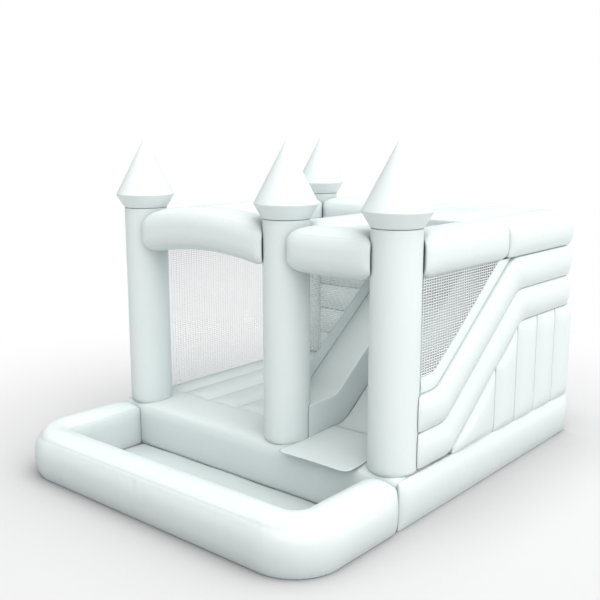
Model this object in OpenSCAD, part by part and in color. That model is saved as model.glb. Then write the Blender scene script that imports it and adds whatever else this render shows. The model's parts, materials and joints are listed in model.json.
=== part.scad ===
// Inflatable bounce house with a slide and a splash pool, standing inflated on level ground.
// X runs across the front, Y runs from the pool to the rear, Z is up.
// The origin is on the ground under the middle of the whole object.
// Every air chamber is a thin closed skin around air, as the real ones are.

/* [Overall] */
// Width of the base over its flat side faces
house_w = 4000; // [3400:10:5200]
// Depth of the base from its front face to its rear face
house_d = 3730; // [3100:10:5000]
// How far the pool stands out in front of the base
pool_len = 1390; // [900:10:2400]
// How far the posts stand above the top beams' flat tops
post_h = 95; // [60:5:600]
// Distance between the two posts beside the slide
slide_bay = 1334; // [1000:2:1800]
// Thickness of every chamber's skin
skin_t = 3; // [2:0.5:4]
// Space left between neighbouring chambers
gap = 3; // [1:0.5:5]
// How far a free side of a chamber bows out
bulge = 20; // [5:1:40]

/* [Base] */
// Height of the base's top at its seams
base_h = 477; // [380:1:620]
// Front to back depth of the threshold beam
threshold_d = 650; // [560:5:900]
// How far the threshold beam's top bows up
threshold_crown = 24; // [5:1:40]
// Number of full floor channels in the bounce room
floor_channels = 4; // [2:1:8]
// Width of the narrow floor channel under the left net
edge_channel_w = 347; // [250:1:450]
// Depth of the grooves between floor channels
groove = 45; // [20:1:60]
// Diameter of the air holes in the baffles
air_hole_d = 150; // [60:5:200]
// Distance between air holes along a baffle
air_hole_pitch = 800; // [400:10:1400]

/* [Pool] */
// Width of the pool wall's tube
pool_tube_w = 350; // [250:5:480]
// Height of the pool wall's upper seam
pool_tube_h = 445; // [300:5:600]
// How far the pool wall's top bows up
pool_crown = 70; // [20:1:100]
// Outer radius of the pool's two front corners
pool_corner_r = 480; // [380:5:700]
// Thickness of the pool's floor sheet
pool_sheet_t = 4; // [2:0.5:8]

/* [Posts and spires] */
// Radius of the round posts
post_r = 243; // [180:1:300]
// Rounding of a post's lower end
post_foot_r = 75; // [20:1:100]
// Height of the flared collar on a post
collar_h = 151; // [80:1:240]
// Radius of the collar's rim
rim_r = 327; // [310:1:420]
// Height of the pointed cone above the rim
cone_h = 613; // [300:1:900]

/* [Top beams] */
// Height of the top beams at their seams
beam_h = 360; // [250:1:420]
// How far the top beams bow up
beam_crown = 45; // [10:1:60]
// Distance from a post's centre to the flat end of a beam
beam_end = 200; // [160:1:220]
// Rise of the entrance arch at its middle
arch_rise = 105; // [40:1:160]
// Distance from the front posts to the joint in the right top beam
beam_joint_y = 1765; // [1200:5:2000]

/* [Side walls] */
// Height of the step between the base and the lower bent tube
rail_foot = 33; // [10:1:80]
// Height of each bent tube
rail_h = 362; // [280:1:420]
// Distance from the front posts to the first bend
bend_y = 651; // [500:1:800]
// Length on the ground of the sloping part
slope_run = 1468; // [1100:1:1700]
// Height that the sloping part climbs
slope_rise = 1108; // [900:1:1200]
// Distance from the front posts to the first upright seam
column_y = 1573; // [1300:1:1800]
// Number of full uprights in the right wall
columns = 4; // [2:1:6]
// Height of each tube in the rear wall
wall_tube_h = 350; // [280:1:460]
// How far the tower's upper rear wall stands in from the base
tower_step = 142; // [0:1:200]
// Width of the border sewn round the lower edge of a net
border_h = 160; // [80:1:220]
// Distance of the nets from the middle of their wall
net_out = 205; // [100:1:220]
// Thickness of a net or border panel
net_t = 3; // [2:0.5:6]

/* [Slide and climb] */
// How far the slide's lip reaches over the pool
lip_out = 150; // [60:1:300]
// Rounding of the lip's corners
lip_r = 90; // [20:1:150]
// Thickness of the lip and the slide cover
sheet_t = 6; // [3:0.5:12]
// Length on the floor of the climbing wall
climb_run = 620; // [450:1:900]
// Radius of the climbing wall's steps
step_r = 55; // [35:1:80]
// Number of steps on the climbing wall
steps = 3; // [2:1:5]

/* [Air inlet] */
// Inside diameter of the air inlet sleeve
sleeve_d = 240; // [150:1:300]
// Length of the air inlet sleeve
sleeve_len = 600; // [300:10:2000]
// Distance of the sleeve from the left side of the base
sleeve_x = 700; // [400:5:1400]
// Width of the ring sewn round the sleeve's root
flange_w = 50; // [30:1:100]
// Width of the strap round the sleeve's mouth
strap_w = 40; // [25:1:60]

/* [Anchors and zip] */
// Width of an anchor patch
patch_w = 180; // [120:1:260]
// Height of an anchor patch
patch_h = 140; // [100:1:200]
// Distance from an anchor's middle to the side of the base
anchor_x = 250; // [150:5:600]
// Inner radius of the anchor rings
ring_r = 26; // [18:1:40]
// Thickness of the anchor rings
ring_t = 8; // [5:0.5:12]
// Space between a ring and its webbing loop
ring_gap = 0.3; // [0.1:0.05:0.6]
// Length of the deflation zip
zip_len = 560; // [300:10:1000]
// Height of the deflation zip above the ground
zip_z = 150; // [80:5:300]

/* [Hidden] */
$fn = 96;
$in = 0;
wall_w = 2*post_r;
post_inset = post_r + 4;
over = 8;
far = 9000;

x_out = house_w/2;
x_lp = -x_out + post_inset;
x_rp = x_out - post_inset;
x_mp = x_rp - slide_bay;
x_d0 = x_mp - post_r;
x_d1 = x_mp + post_r;
x_w0 = x_rp - post_r;
x_w1 = x_rp + post_r;
x_s0 = x_d1 + gap;
x_s1 = x_w0 - gap;

total_len = bulge + pool_len + house_d + sleeve_len;
y_pool = -total_len/2 + bulge;
y_base0 = y_pool + pool_len;
y_base1 = y_base0 + house_d;
y_fp = y_base0 + post_inset;
y_rp = y_base1 - post_inset;
y_floor = y_base0 + threshold_d + gap;
y_rw0 = y_rp - post_r;
y_floor_end = y_rw0 - bulge/2 - gap;
y_tr1 = y_base1 - tower_step;
y_joint = y_fp + beam_joint_y;
y_b1 = y_fp + bend_y;
y_b2 = y_b1 + slope_run;
y_c1 = y_fp + column_y;
y_door = y_b2 - 40;

slope = slope_rise/slope_run;
slope_a = atan(slope);
mitre = tan(slope_a/2);
z_top = base_h + gap;
z_lo = base_h + rail_foot;
z_hi = z_lo + slope_rise;
z_beam = z_hi + 2*rail_h + gap;
post_top = z_beam + beam_h + post_h;
z_post = base_h + threshold_crown + gap;
z_sheet = base_h + threshold_crown + gap;
arch_w = x_mp - x_lp - 2*beam_end;
arch_r = bow_r(arch_w, arch_rise);
arch_a = 2*asin((arch_w/2 + beam_end)/arch_r);

floor_pitch = (x_d0 - gap + x_out - edge_channel_w)/floor_channels;
floor_seams = [for (i = [0:floor_channels - 1]) -x_out + edge_channel_w + i*floor_pitch];
base_pitch = (x_out - x_d0)/4;
column_pitch = (y_base1 - y_c1)/columns;
right_seams = concat([y_b1 + 60], [for (i = [0:columns]) y_c1 + i*column_pitch]);
divider_seams = [y_b1 + 60, y_c1, y_b2];
wall_tubes = floor((z_beam - z_top)/wall_tube_h);
wall_levels = concat([for (i = [0:wall_tubes - 1]) z_top + i*wall_tube_h], [z_beam]);
x_sleeve = -x_out + sleeve_x;
z_sleeve = sleeve_d/2 + skin_t + flange_w + 20;
z_ring = patch_h - 30;
loop_off = 14;
x_zip = (x_sleeve + x_out - anchor_x)/2;

// ---- building blocks: every block is drawn $in smaller on each side when it is the air inside ----

module hollow() {
    difference() {
        let ($in = 0) children();
        let ($in = skin_t) children();
    }
}

// Radius of a circle whose chord of length len bows out by s
function bow_r(len, s) = (len*len/4 + s*s)/(2*s);

// A chord of length len bowed out by s
module bow(len, s) {
    r = bow_r(len, s);
    intersection() {
        translate([len/2, s - r]) circle(r = r, $fn = 360);
        translate([0, -over]) square([len, s + over + 1]);
    }
}

// A rectangle with bowed sides: left, right, top and under
module puff(w, h, l = 0, r = 0, t = 0, u = 0) {
    square([w, h]);
    if (t > 0) translate([0, h]) bow(w, t);
    if (u > 0) translate([w, 0]) rotate(180) bow(w, u);
    if (r > 0) translate([w, h]) rotate(-90) bow(h, r);
    if (l > 0) rotate(90) bow(h, l);
}

module bar_x(x, y, z, f = 0, b = 0, t = 0, u = 0)
    translate([x[0] + $in, y[0] + $in, z[0] + $in]) rotate([90, 0, 90])
        linear_extrude(x[1] - x[0] - 2*$in)
            puff(y[1] - y[0] - 2*$in, z[1] - z[0] - 2*$in, f, b, t, u);

module bar_y(x, y, z, l = 0, r = 0, t = 0, u = 0)
    translate([x[0] + $in, y[1] - $in, z[0] + $in]) rotate([90, 0, 0])
        linear_extrude(y[1] - y[0] - 2*$in)
            puff(x[1] - x[0] - 2*$in, z[1] - z[0] - 2*$in, l, r, t, u);

module bar_z(x, y, z, l = 0, r = 0, f = 0, b = 0)
    translate([x[0] + $in, y[0] + $in, z[0] + $in])
        linear_extrude(z[1] - z[0] - 2*$in)
            puff(x[1] - x[0] - 2*$in, y[1] - y[0] - 2*$in, l, r, b, f);

// A flat outline in Y and Z, carried along X
module across(x, points)
    translate([x[0], 0, 0]) rotate([90, 0, 90]) linear_extrude(x[1] - x[0]) polygon(points);

module post_room(x, y)
    translate([x, y, -1]) cylinder(r = post_r + gap + $in, h = post_top + 2);

// Room for a post and, past a diagonal turned by a, for the beam round its corner
module corner_room(x, y, a) {
    post_room(x, y);
    translate([x, y, -1]) rotate(a) translate([-far/2, -gap/2 - $in, 0]) cube([far, far, post_top]);
}

// ---- base ----

module front_threshold_beam() color("Gainsboro") hollow()
    bar_x([-x_out, x_out], [y_base0, y_base0 + threshold_d], [0, base_h], f = bulge/2,
        t = threshold_crown);

// The floor's end view: round crowns that meet in grooves
module floor_end(x0, x1) {
    w = x1 - x0 - 2*$in;
    h = base_h + threshold_crown - groove - 2*$in;
    edges = concat([x0 + $in], [for (s = floor_seams) s], [x1 - $in]);
    intersection() {
        square([w, h + 2*groove]);
        union() {
            square([w, h - over]);
            for (i = [0:len(edges) - 2]) {
                channel = edges[i + 1] - edges[i];
                crown = groove*min(1, channel/floor_pitch);
                r = bow_r(channel, crown);
                translate([(edges[i] + edges[i + 1])/2 - x0 - $in, h + crown - r])
                    circle(r = r, $fn = 360);
            }
        }
    }
}

module bounce_floor() color("AliceBlue") hollow()
    translate([-x_out + $in, y_floor_end - $in, $in]) rotate([90, 0, 0])
        linear_extrude(y_floor_end - y_floor - 2*$in) floor_end(-x_out, x_d0 - gap);

module slide_base() color("Gainsboro") hollow()
    bar_y([x_d0, x_out], [y_floor, y_base1], [0, base_h], r = bulge);

module rear_base_beam() color("Gainsboro") hollow()
    bar_x([-x_out, x_d0 - gap], [y_rw0, y_base1], [0, base_h]);

module baffle_y(x, y, h) {
    n = max(1, floor((y[1] - y[0])/air_hole_pitch));
    difference() {
        translate([x - skin_t/2, y[0], 0]) cube([skin_t, y[1] - y[0], h]);
        for (i = [0:n - 1])
            translate([x - skin_t, y[0] + (i + 0.5)*(y[1] - y[0])/n, h/2])
                rotate([0, 90, 0]) cylinder(d = min(air_hole_d, 0.6*h), h = 2*skin_t);
    }
}

module baffle_x(x, y, h) {
    n = max(1, floor((x[1] - x[0])/air_hole_pitch));
    difference() {
        translate([x[0], y - skin_t/2, 0]) cube([x[1] - x[0], skin_t, h]);
        for (i = [0:n - 1])
            translate([x[0] + (i + 0.5)*(x[1] - x[0])/n, y + skin_t, h/2])
                rotate([90, 0, 0]) cylinder(d = min(air_hole_d, 0.6*h), h = 2*skin_t);
    }
}

inner = skin_t + 1;

module floor_baffles() color("LightSteelBlue")
    for (s = floor_seams) translate([0, 0, inner])
        baffle_y(s, [y_floor + inner, y_floor_end - inner],
            base_h + threshold_crown - groove - 2*inner);

module slide_base_baffles() color("LightSteelBlue")
    for (i = [1:3]) translate([0, 0, inner])
        baffle_y(x_d0 + i*base_pitch, [y_floor + inner, y_base1 - inner], base_h - 2*inner);

module threshold_baffle() color("LightSteelBlue")
    translate([0, 0, inner]) baffle_x([-x_out + inner, x_out - inner],
        y_base0 + threshold_d/2, base_h - 2*inner);

// ---- pool ----

module pool_section() puff(pool_tube_w - 2*$in, pool_tube_h - 2*$in, bulge/2, bulge, pool_crown);

// One front corner; its air stops a little short of both flat ends
module pool_quarter() {
    cap_a = $in > 0 ? atan(skin_t/(pool_corner_r - pool_tube_w/2)) : 0;
    translate([0, 0, $in]) rotate(cap_a) rotate_extrude(angle = 90 - 2*cap_a)
        translate([pool_corner_r - pool_tube_w + $in, 0]) pool_section();
}

module pool_wall() color("WhiteSmoke") {
    arm_y = [y_pool + pool_corner_r + gap/2, y_base0 - bulge/2 - gap];
    front_x = x_out - pool_corner_r - gap/2;
    for (s = [0, 1]) mirror([s, 0, 0]) {
        hollow() bar_y([x_out - pool_tube_w, x_out], arm_y, [0, pool_tube_h],
            l = bulge/2, r = bulge, t = pool_crown);
        translate([x_out - pool_corner_r, y_pool + pool_corner_r, 0]) rotate(-90)
            hollow() pool_quarter();
    }
    hollow() bar_x([-front_x, front_x], [y_pool, y_pool + pool_tube_w], [0, pool_tube_h],
        f = bulge, b = bulge/2, t = pool_crown);
}

module pool_floor_sheet() color("Azure") {
    r = pool_corner_r - pool_tube_w - gap;
    x = x_out - pool_tube_w - gap;
    y = y_pool + pool_tube_w + gap;
    linear_extrude(pool_sheet_t) {
        translate([-x, y + r]) square([2*x, y_base0 - gap - y - r]);
        translate([-x + r, y]) square([2*x - 2*r, r + 1]);
        for (s = [-1, 1]) translate([s*(x - r), y + r]) circle(r = r);
    }
}

// ---- posts and spires ----

module post_profile() {
    r = post_r - $in;
    f = post_foot_r - $in;
    translate([0, z_post + $in + f]) square([r, post_top - z_post - 2*$in - f]);
    translate([0, z_post + $in]) square([r - f, f + 1]);
    translate([r - f, z_post + $in + f]) intersection() {
        circle(r = f);
        translate([0, -f]) square([f, f + 1]);
    }
}

module post(x, y) translate([x, y, 0]) color("White") hollow() rotate_extrude() post_profile();

module spire(x, y) {
    z0 = post_top + gap;
    translate([x, y, 0]) color("Lavender") hollow() rotate_extrude()
        polygon([[0, z0 + $in], [post_r - $in, z0 + $in], [rim_r - 1.2*$in, post_top + collar_h],
            [0, post_top + collar_h + cone_h - 2*$in]]);
}

module front_left_post() post(x_lp, y_fp);
module front_middle_post() post(x_mp, y_fp);
module front_right_post() post(x_rp, y_fp);
module rear_left_post() post(x_lp, y_rp);
module front_left_spire() spire(x_lp, y_fp);
module front_middle_spire() spire(x_mp, y_fp);
module front_right_spire() spire(x_rp, y_fp);
module rear_left_spire() spire(x_lp, y_rp);

// ---- top beams ----

beam_z = [z_beam, z_beam + beam_h];
side_y = [y_fp - post_r, y_fp + post_r];

// One of the arch's three lengths, between two upright planes
module arch_length(x) intersection() {
    translate([(x_lp + x_mp)/2, y_fp - post_r + $in, z_beam + arch_rise - arch_r])
        rotate([90, 0, 0]) mirror([0, 0, 1]) rotate(90 - arch_a/2)
            rotate_extrude(angle = arch_a, $fn = 720) translate([arch_r + $in, 0])
                rotate(90) mirror([0, 1, 0])
                    puff(wall_w - 2*$in, beam_h - 2*$in, bulge/2, bulge/2, beam_crown);
    translate([x[0] + $in, y_fp - 2*post_r, z_beam - 2]) cube([x[1] - x[0] - 2*$in, 4*post_r, 700]);
}

module entrance_arch() color("White") {
    x0 = x_lp + beam_end;
    w = arch_w/3;
    for (i = [0:2]) hollow() difference() {
        arch_length([x0 + i*w + (i > 0 ? gap/2 : 0), x0 + (i + 1)*w - (i < 2 ? gap/2 : 0)]);
        corner_room(x_lp, y_fp, 45);
        corner_room(x_mp, y_fp, -45);
    }
}

module slide_front_beam() color("White") hollow() difference() {
    bar_x([x_mp + beam_end, x_rp - beam_end], side_y, beam_z, f = bulge/2, b = bulge/2,
        t = beam_crown);
    corner_room(x_mp, y_fp, 45);
    corner_room(x_rp, y_fp, -45);
}

module left_top_beam() color("White") hollow() difference() {
    bar_y([x_lp - post_r, x_lp + post_r], [y_fp + beam_end, y_rp - beam_end], beam_z,
        l = bulge/2, r = bulge/2, t = beam_crown);
    corner_room(x_lp, y_fp, 225);
    corner_room(x_lp, y_rp, -45);
}

module right_top_beam() color("White") hollow() difference() {
    bar_y([x_w0, x_w1], [y_fp + beam_end, y_joint - gap], beam_z, r = bulge/2, t = beam_crown);
    corner_room(x_rp, y_fp, 135);
}

module tower_side_beam() color("White") hollow()
    bar_y([x_w0, x_w1], [y_joint, y_tr1], beam_z, r = bulge, t = beam_crown);

module rear_top_beam() color("White") hollow() difference() {
    bar_x([x_lp + beam_end, x_d0 - gap], [y_rw0, y_rp + post_r], beam_z, f = bulge/2,
        b = bulge/2, t = beam_crown);
    corner_room(x_lp, y_rp, 135);
}

module tower_rear_beam() color("White") hollow()
    bar_x([x_d0, x_w0 - gap], [y_rw0, y_tr1], beam_z, b = bulge/2, t = beam_crown);

module divider_top_beam() color("White") hollow() difference() {
    bar_y([x_d0, x_d1], [y_fp + beam_end, y_rw0 - gap - bulge/2], beam_z, l = bulge/2,
        t = beam_crown);
    corner_room(x_mp, y_fp, 135);
    corner_room(x_mp, y_fp, 225);
}

roof_y = [y_joint, y_rw0 - gap];

module tower_roof() color("White") hollow()
    bar_x([x_s0, x_s1], roof_y, beam_z, t = 1.5*beam_crown);

module roof_baffle() color("LightSteelBlue")
    translate([0, 0, z_beam + inner]) baffle_x([x_s0 + inner, x_s1 - inner],
        (roof_y[0] + roof_y[1])/2, beam_h - 2*inner);

// ---- bent side tubes ----

// Space between the two bends' cutting planes: part 0 is before the first, 2 after the second
module bend_room(part) {
    a = gap/2 + $in;
    z0 = z_lo - 600;
    z1 = z_hi + 900;
    function cut(y, zb, z) = y - mitre*(z - zb);
    across([-far, far],
        part == 0 ? [[-far, z0], [cut(y_b1, z_lo, z0) - a, z0], [cut(y_b1, z_lo, z1) - a, z1],
            [-far, z1]] :
        part == 1 ? [[cut(y_b1, z_lo, z0) + a, z0], [cut(y_b2, z_hi, z0) - a, z0],
            [cut(y_b2, z_hi, z1) - a, z1], [cut(y_b1, z_lo, z1) + a, z1]] :
        [[cut(y_b2, z_hi, z0) + a, z0], [far, z0], [far, z1], [cut(y_b2, z_hi, z1) + a, z1]]);
}

// Tube k of the stack that follows the slide: k is 0 for the lowest
module rail_part(x, k, part, y0, y1, l, r) intersection() {
    z = [k*rail_h + gap/2, (k + 1)*rail_h - gap/2];
    if (part == 0) bar_y(x, [y0, y_b1], [z_lo + z[0], z_lo + z[1]], l, r);
    if (part == 1) translate([0, y_b1 - k*rail_h*mitre, z_lo + k*rail_h]) rotate([slope_a, 0, 0])
        bar_y(x, [-rail_h, slope_run/cos(slope_a) + rail_h], [gap/2, rail_h - gap/2], l, r);
    if (part == 2) bar_y(x, [y_b2 - 3*rail_h, y1], [z_hi + z[0], z_hi + z[1]], l, r);
    bend_room(part);
}

module rail(x, k, y0, y1, l, r)
    for (part = [0:2]) hollow() difference() {
        rail_part(x, k, part, y0, y1, l, r);
        if (part == 0) post_room((x[0] + x[1])/2, y_fp);
    }

module right_upper_rail() color("WhiteSmoke")
    rail([x_w0, x_w1], 1, y_fp + beam_end, y_tr1, 0, bulge);

module right_lower_rail() color("White")
    rail([x_w0, x_w1], 0, y_fp + beam_end, y_tr1, 0, bulge);

module divider_rail() color("White") {
    for (part = [0, 1]) hollow() difference() {
        rail_part([x_d0, x_d1], 0, part, y_fp + beam_end, y_door, bulge, 0);
        if (part == 0) post_room(x_mp, y_fp);
        if (part == 1) translate([x_d0 - 2*bulge, y_door - $in, z_lo])
            cube([wall_w + 4*bulge, far/4, far/4]);
    }
}

// Everything under the lowest bent tube's slope
module under_slope() {
    drop = (gap + $in)/cos(slope_a);
    z0 = z_lo - drop;
    across([-far, far], [[y_b1 - 400, z0 - 400*slope], [y_b1 - 400, -far], [y_b1 + far, -far],
        [y_b1 + far, z0 + far*slope]]);
}

module uprights(x, seams, l, r)
    for (i = [0:len(seams) - 2]) hollow() intersection() {
        bar_z(x, [seams[i] + gap/2, seams[i + 1] - gap/2], [z_top, z_hi - gap], l, r);
        under_slope();
    }

module right_wall_uprights() color("White") uprights([x_w0, x_w1], right_seams, 0, bulge);
module divider_uprights() color("White") uprights([x_d0, x_d1], divider_seams, bulge, 0);

// ---- nets ----

// Height of the line that lies off above the slide's lower seam
function rail_y(off) = y_b1 - off*mitre;
function slope_reach(off, z) = rail_y(off) + (z - z_lo - off)/slope;

module net_sheet(x, off, y1) {
    z1 = z_beam - gap;
    reach = slope_reach(off, z1);
    y2 = min(reach, y1);
    z2 = z_lo + off + (y2 - rail_y(off))*slope;
    across([x, x + net_t], concat([[y_fp, z_lo + off], [rail_y(off), z_lo + off], [y2, z2]],
        reach > y1 ? [[y2, z1]] : [], [[y_fp, z1]]));
}

module border_sheet(x, off, y1) intersection() {
    a = off + gap;
    b = off + border_h;
    across([x, x + net_t], [[y_fp, z_lo + a], [rail_y(a), z_lo + a], [y_b2 - a*mitre, z_hi + a],
        [y_b2 - b*mitre, z_hi + b], [rail_y(b), z_lo + b], [y_fp, z_lo + b]]);
    translate([x - 1, y_fp, z_lo]) cube([net_t + 2, y1 - y_fp, z_beam - gap - z_lo]);
}

module right_net() color("LightGrey") difference() {
    net_sheet(x_rp + net_out, 2*rail_h + border_h + gap, y_b2);
    post_room(x_rp, y_fp);
}

module right_net_border() color("Silver") difference() {
    border_sheet(x_rp + net_out, 2*rail_h, y_b2);
    post_room(x_rp, y_fp);
}

module divider_net() color("LightGrey") difference() {
    net_sheet(x_mp - net_out, rail_h + border_h + gap, y_door);
    post_room(x_mp, y_fp);
}

module divider_net_border() color("Silver") difference() {
    border_sheet(x_mp - net_out, rail_h, y_door);
    post_room(x_mp, y_fp);
}

module left_net() color("LightGrey") difference() {
    z0 = base_h + threshold_crown + gap;
    translate([x_lp - net_out, y_fp, z0]) cube([net_t, y_rp - y_fp, z_beam - gap - z0]);
    post_room(x_lp, y_fp);
    post_room(x_lp, y_rp);
}

// ---- rear walls ----

module rear_wall_tubes() color("WhiteSmoke")
    for (i = [0:wall_tubes - 1]) hollow() difference() {
        bar_x([x_lp + beam_end, x_d0 - gap], [y_rw0, y_rp + post_r],
            [wall_levels[i] + gap/2, wall_levels[i + 1] - gap/2], f = bulge, b = bulge);
        post_room(x_lp, y_rp);
    }

module tower_rear_tubes() color("WhiteSmoke")
    for (i = [0, 1]) hollow()
        bar_x([x_d0, x_s1], [y_rw0, y_tr1],
            [z_hi + i*rail_h + gap/2, z_hi + (i + 1)*rail_h - gap/2], b = bulge);

module tower_rear_uprights() color("White") {
    w = (x_s1 - x_d0)/3;
    for (i = [0:2]) hollow()
        bar_z([x_d0 + i*w, x_d0 + (i + 1)*w - gap], [y_rw0, y_base1], [z_top, z_hi - gap],
            b = bulge);
}

// ---- slide, platform and climbing wall ----

module ramp_outline() {
    lift = $in/cos(slope_a);
    y0 = y_b1 + gap + $in;
    y1 = y_b2 - $in;
    function bed(y) = z_lo + (y - y_b1)*slope - lift;
    across([x_s0 + $in, x_s1 - $in], [[y0, z_top + $in], [y1, z_top + $in], [y1, bed(y1)],
        [max(y0, y_b1 + (z_top + $in - z_lo + lift)/slope), max(z_top + $in + 1, bed(y0))]]);
}

module slide_ramp() color("LightCyan") hollow() ramp_outline();

module ramp_baffles() color("LightSteelBlue")
    for (i = [1, 2]) {
        y = y_b1 + gap + i*(y_b2 - y_b1)/3;
        translate([0, 0, z_top + inner]) baffle_x([x_s0 + inner, x_s1 - inner], y,
            (y - y_b1)*slope + z_lo - z_top - 2*inner - 3);
    }

module slide_cover() color("Azure")
    translate([0, y_b1, z_lo]) rotate([slope_a, 0, 0])
        translate([x_s0, 0, gap]) cube([x_s1 - x_s0, slope_run/cos(slope_a) - gap, sheet_t]);

module slide_lip() color("Azure") {
    y0 = y_base0 - lip_out;
    translate([0, 0, z_sheet]) linear_extrude(sheet_t) {
        translate([x_s0, y0 + lip_r]) square([x_s1 - x_s0, y_b1 - 2*gap - y0 - lip_r]);
        translate([x_s0 + lip_r, y0]) square([x_s1 - x_s0 - 2*lip_r, lip_r + 1]);
        for (x = [x_s0 + lip_r, x_s1 - lip_r]) translate([x, y0 + lip_r]) circle(r = lip_r);
    }
}

platform_y = [y_b2 + gap, y_rw0 - gap];

module slide_platform() color("LightCyan") hollow()
    bar_y([x_d0, x_s1], platform_y, [z_top, z_hi - threshold_crown], t = threshold_crown);

module platform_baffles() color("LightSteelBlue")
    for (i = [1, 2]) translate([0, 0, z_top + inner])
        baffle_y(x_d0 + i*(x_s1 - x_d0)/3, [platform_y[0] + inner, platform_y[1] - inner],
            z_hi - threshold_crown - z_top - 2*inner);

climb_z = base_h + threshold_crown + gap;
climb_top = z_hi - threshold_crown;
climb_a = atan((climb_top - climb_z)/climb_run);
climb_y = [y_b2 + gap, y_rw0 - bulge - gap];

module climbing_wall() color("LightCyan") hollow() {
    x1 = x_d0 - gap;
    x0 = x1 - climb_run;
    lift = $in/cos(climb_a);
    translate([0, climb_y[1] - $in, 0]) rotate([90, 0, 0])
        linear_extrude(climb_y[1] - climb_y[0] - 2*$in)
            polygon([[x0 + ($in + lift)/tan(climb_a), climb_z + $in], [x1 - $in, climb_z + $in],
                [x1 - $in, climb_top - lift - $in*tan(climb_a)]]);
}

module climbing_steps() color("Azure")
    for (i = [1:steps]) {
        s = i*climb_run/cos(climb_a)/(steps + 1);
        translate([x_d0 - gap - climb_run, climb_y[1] - gap, climb_z]) rotate([90, 0, 0])
            linear_extrude(climb_y[1] - climb_y[0] - 2*gap) rotate(climb_a)
                intersection() {
                    translate([s, 0]) circle(r = step_r);
                    translate([s - step_r, gap]) square([2*step_r, step_r]);
                }
    }

// ---- air inlet ----

module at_sleeve(y) translate([x_sleeve, y, z_sleeve]) rotate([-90, 0, 0]) children();

module inlet_flange() color("LightGrey") at_sleeve(y_base1 + 1) difference() {
    cylinder(d = sleeve_d + 2*skin_t + 2*flange_w, h = skin_t);
    translate([0, 0, -1]) cylinder(d = sleeve_d + 2*skin_t + 1, h = skin_t + 2);
}

module inlet_sleeve() color("WhiteSmoke") at_sleeve(y_base1 + 1) difference() {
    cylinder(d = sleeve_d + 2*skin_t, h = sleeve_len - 1);
    translate([0, 0, -1]) cylinder(d = sleeve_d, h = sleeve_len + 1);
}

module inlet_strap() color("DimGray") at_sleeve(y_base1 + sleeve_len - 2.5*strap_w) {
    d = sleeve_d + 2*skin_t + 1;
    difference() {
        union() {
            cylinder(d = d + 2*skin_t, h = strap_w);
            translate([-0.6*strap_w, -d/2 - 4*skin_t, 0]) cube([1.2*strap_w, 4*skin_t, strap_w]);
        }
        translate([0, 0, -1]) cylinder(d = d, h = strap_w + 2);
    }
}

// ---- anchors ----

module anchor(x) translate([x, y_base1 + 1, 0]) color("LightGrey") {
    loop_r = ring_t/2 + ring_gap + 3;
    loop_w = 1.5*ring_r;
    y = skin_t + loop_off;
    translate([-patch_w/2, 0, z_ring + 30 - patch_h]) cube([patch_w, skin_t, patch_h]);
    difference() {
        union() {
            translate([-loop_w/2, y, z_ring]) rotate([0, 90, 0]) cylinder(r = loop_r, h = loop_w);
            translate([-loop_w/2, skin_t - 1, z_ring]) cube([loop_w, loop_off + 1, loop_r]);
        }
        translate([-loop_w, y, z_ring]) rotate([0, 90, 0])
            cylinder(r = ring_t/2 + ring_gap, h = 2*loop_w);
    }
}

module anchor_ring(x) translate([x, y_base1 + 1 + skin_t + loop_off, z_ring]) color("SlateGray") {
    r = ring_r + ring_t/2;
    rotate([0, 90, 0]) cylinder(r = ring_t/2, h = 2*r, center = true);
    rotate([-90, 0, 0]) rotate_extrude(angle = 180) translate([r, 0]) circle(r = ring_t/2);
    for (s = [-1, 1]) translate([s*r, 0, 0]) sphere(r = ring_t/2);
}

module left_anchor() anchor(-x_out + anchor_x);
module right_anchor() anchor(x_out - anchor_x);
module left_anchor_ring() anchor_ring(-x_out + anchor_x);
module right_anchor_ring() anchor_ring(x_out - anchor_x);

// ---- deflation zip ----

zip_y = y_base1 + 1;
tape_h = 44;
chain_y = zip_y + skin_t;
chain_h = 7;
web_t = 2;
web_out = 1.8;
chain_t = 1.6;
stop_l = 8;
end_room = 4;
slider_y = chain_y + 0.4;
slider_w = 16;
slider_h = 18;
slider_d = 9;
slot = 0.5;
lug_t = 3;
pin_r = 1.4;
hub_r = 2.7;
hub_w = slider_w - 2 - 2*lug_t - 2*0.4;
pin_out = slider_d + hub_r + slot;
pull_len = 30;
pull_t = 2;
x_slider = x_zip - zip_len/2 + end_room + stop_l + 1;

module deflation_zip() color("Gray") {
    chain_x = x_zip - zip_len/2 + end_room;
    translate([x_zip - zip_len/2, zip_y, zip_z - tape_h/2]) cube([zip_len, skin_t, tape_h]);
    translate([chain_x, chain_y - 0.5, zip_z - web_t/2])
        cube([zip_len - 2*end_room, web_out + 1, web_t]);
    translate([chain_x, chain_y + web_out, zip_z - chain_h/2])
        cube([zip_len - 2*end_room, chain_t, chain_h]);
    for (x = [chain_x, chain_x + zip_len - 2*end_room - stop_l])
        translate([x, chain_y - 0.5, zip_z - chain_h/2]) cube([stop_l, 2*chain_t + web_out, chain_h]);
}

module zip_slider() color("DarkGray")
    translate([x_slider, slider_y, zip_z]) {
        difference() {
            translate([0, 0, -slider_h/2]) cube([slider_w, slider_d, slider_h]);
            translate([-1, -1, -web_t/2 - slot]) cube([slider_w + 2, web_out + 2, web_t + 2*slot]);
            translate([-1, web_out - 0.4 - slot, -chain_h/2 - slot])
                cube([slider_w + 2, chain_t + 2*slot, chain_h + 2*slot]);
        }
        for (x = [1, slider_w - 1 - lug_t]) translate([x, slider_d - 0.5, -hub_r])
            cube([lug_t, pin_out - slider_d + 0.5 + hub_r, 2*hub_r]);
        translate([1.5, pin_out, 0]) rotate([0, 90, 0]) cylinder(r = pin_r, h = slider_w - 3);
    }

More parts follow.
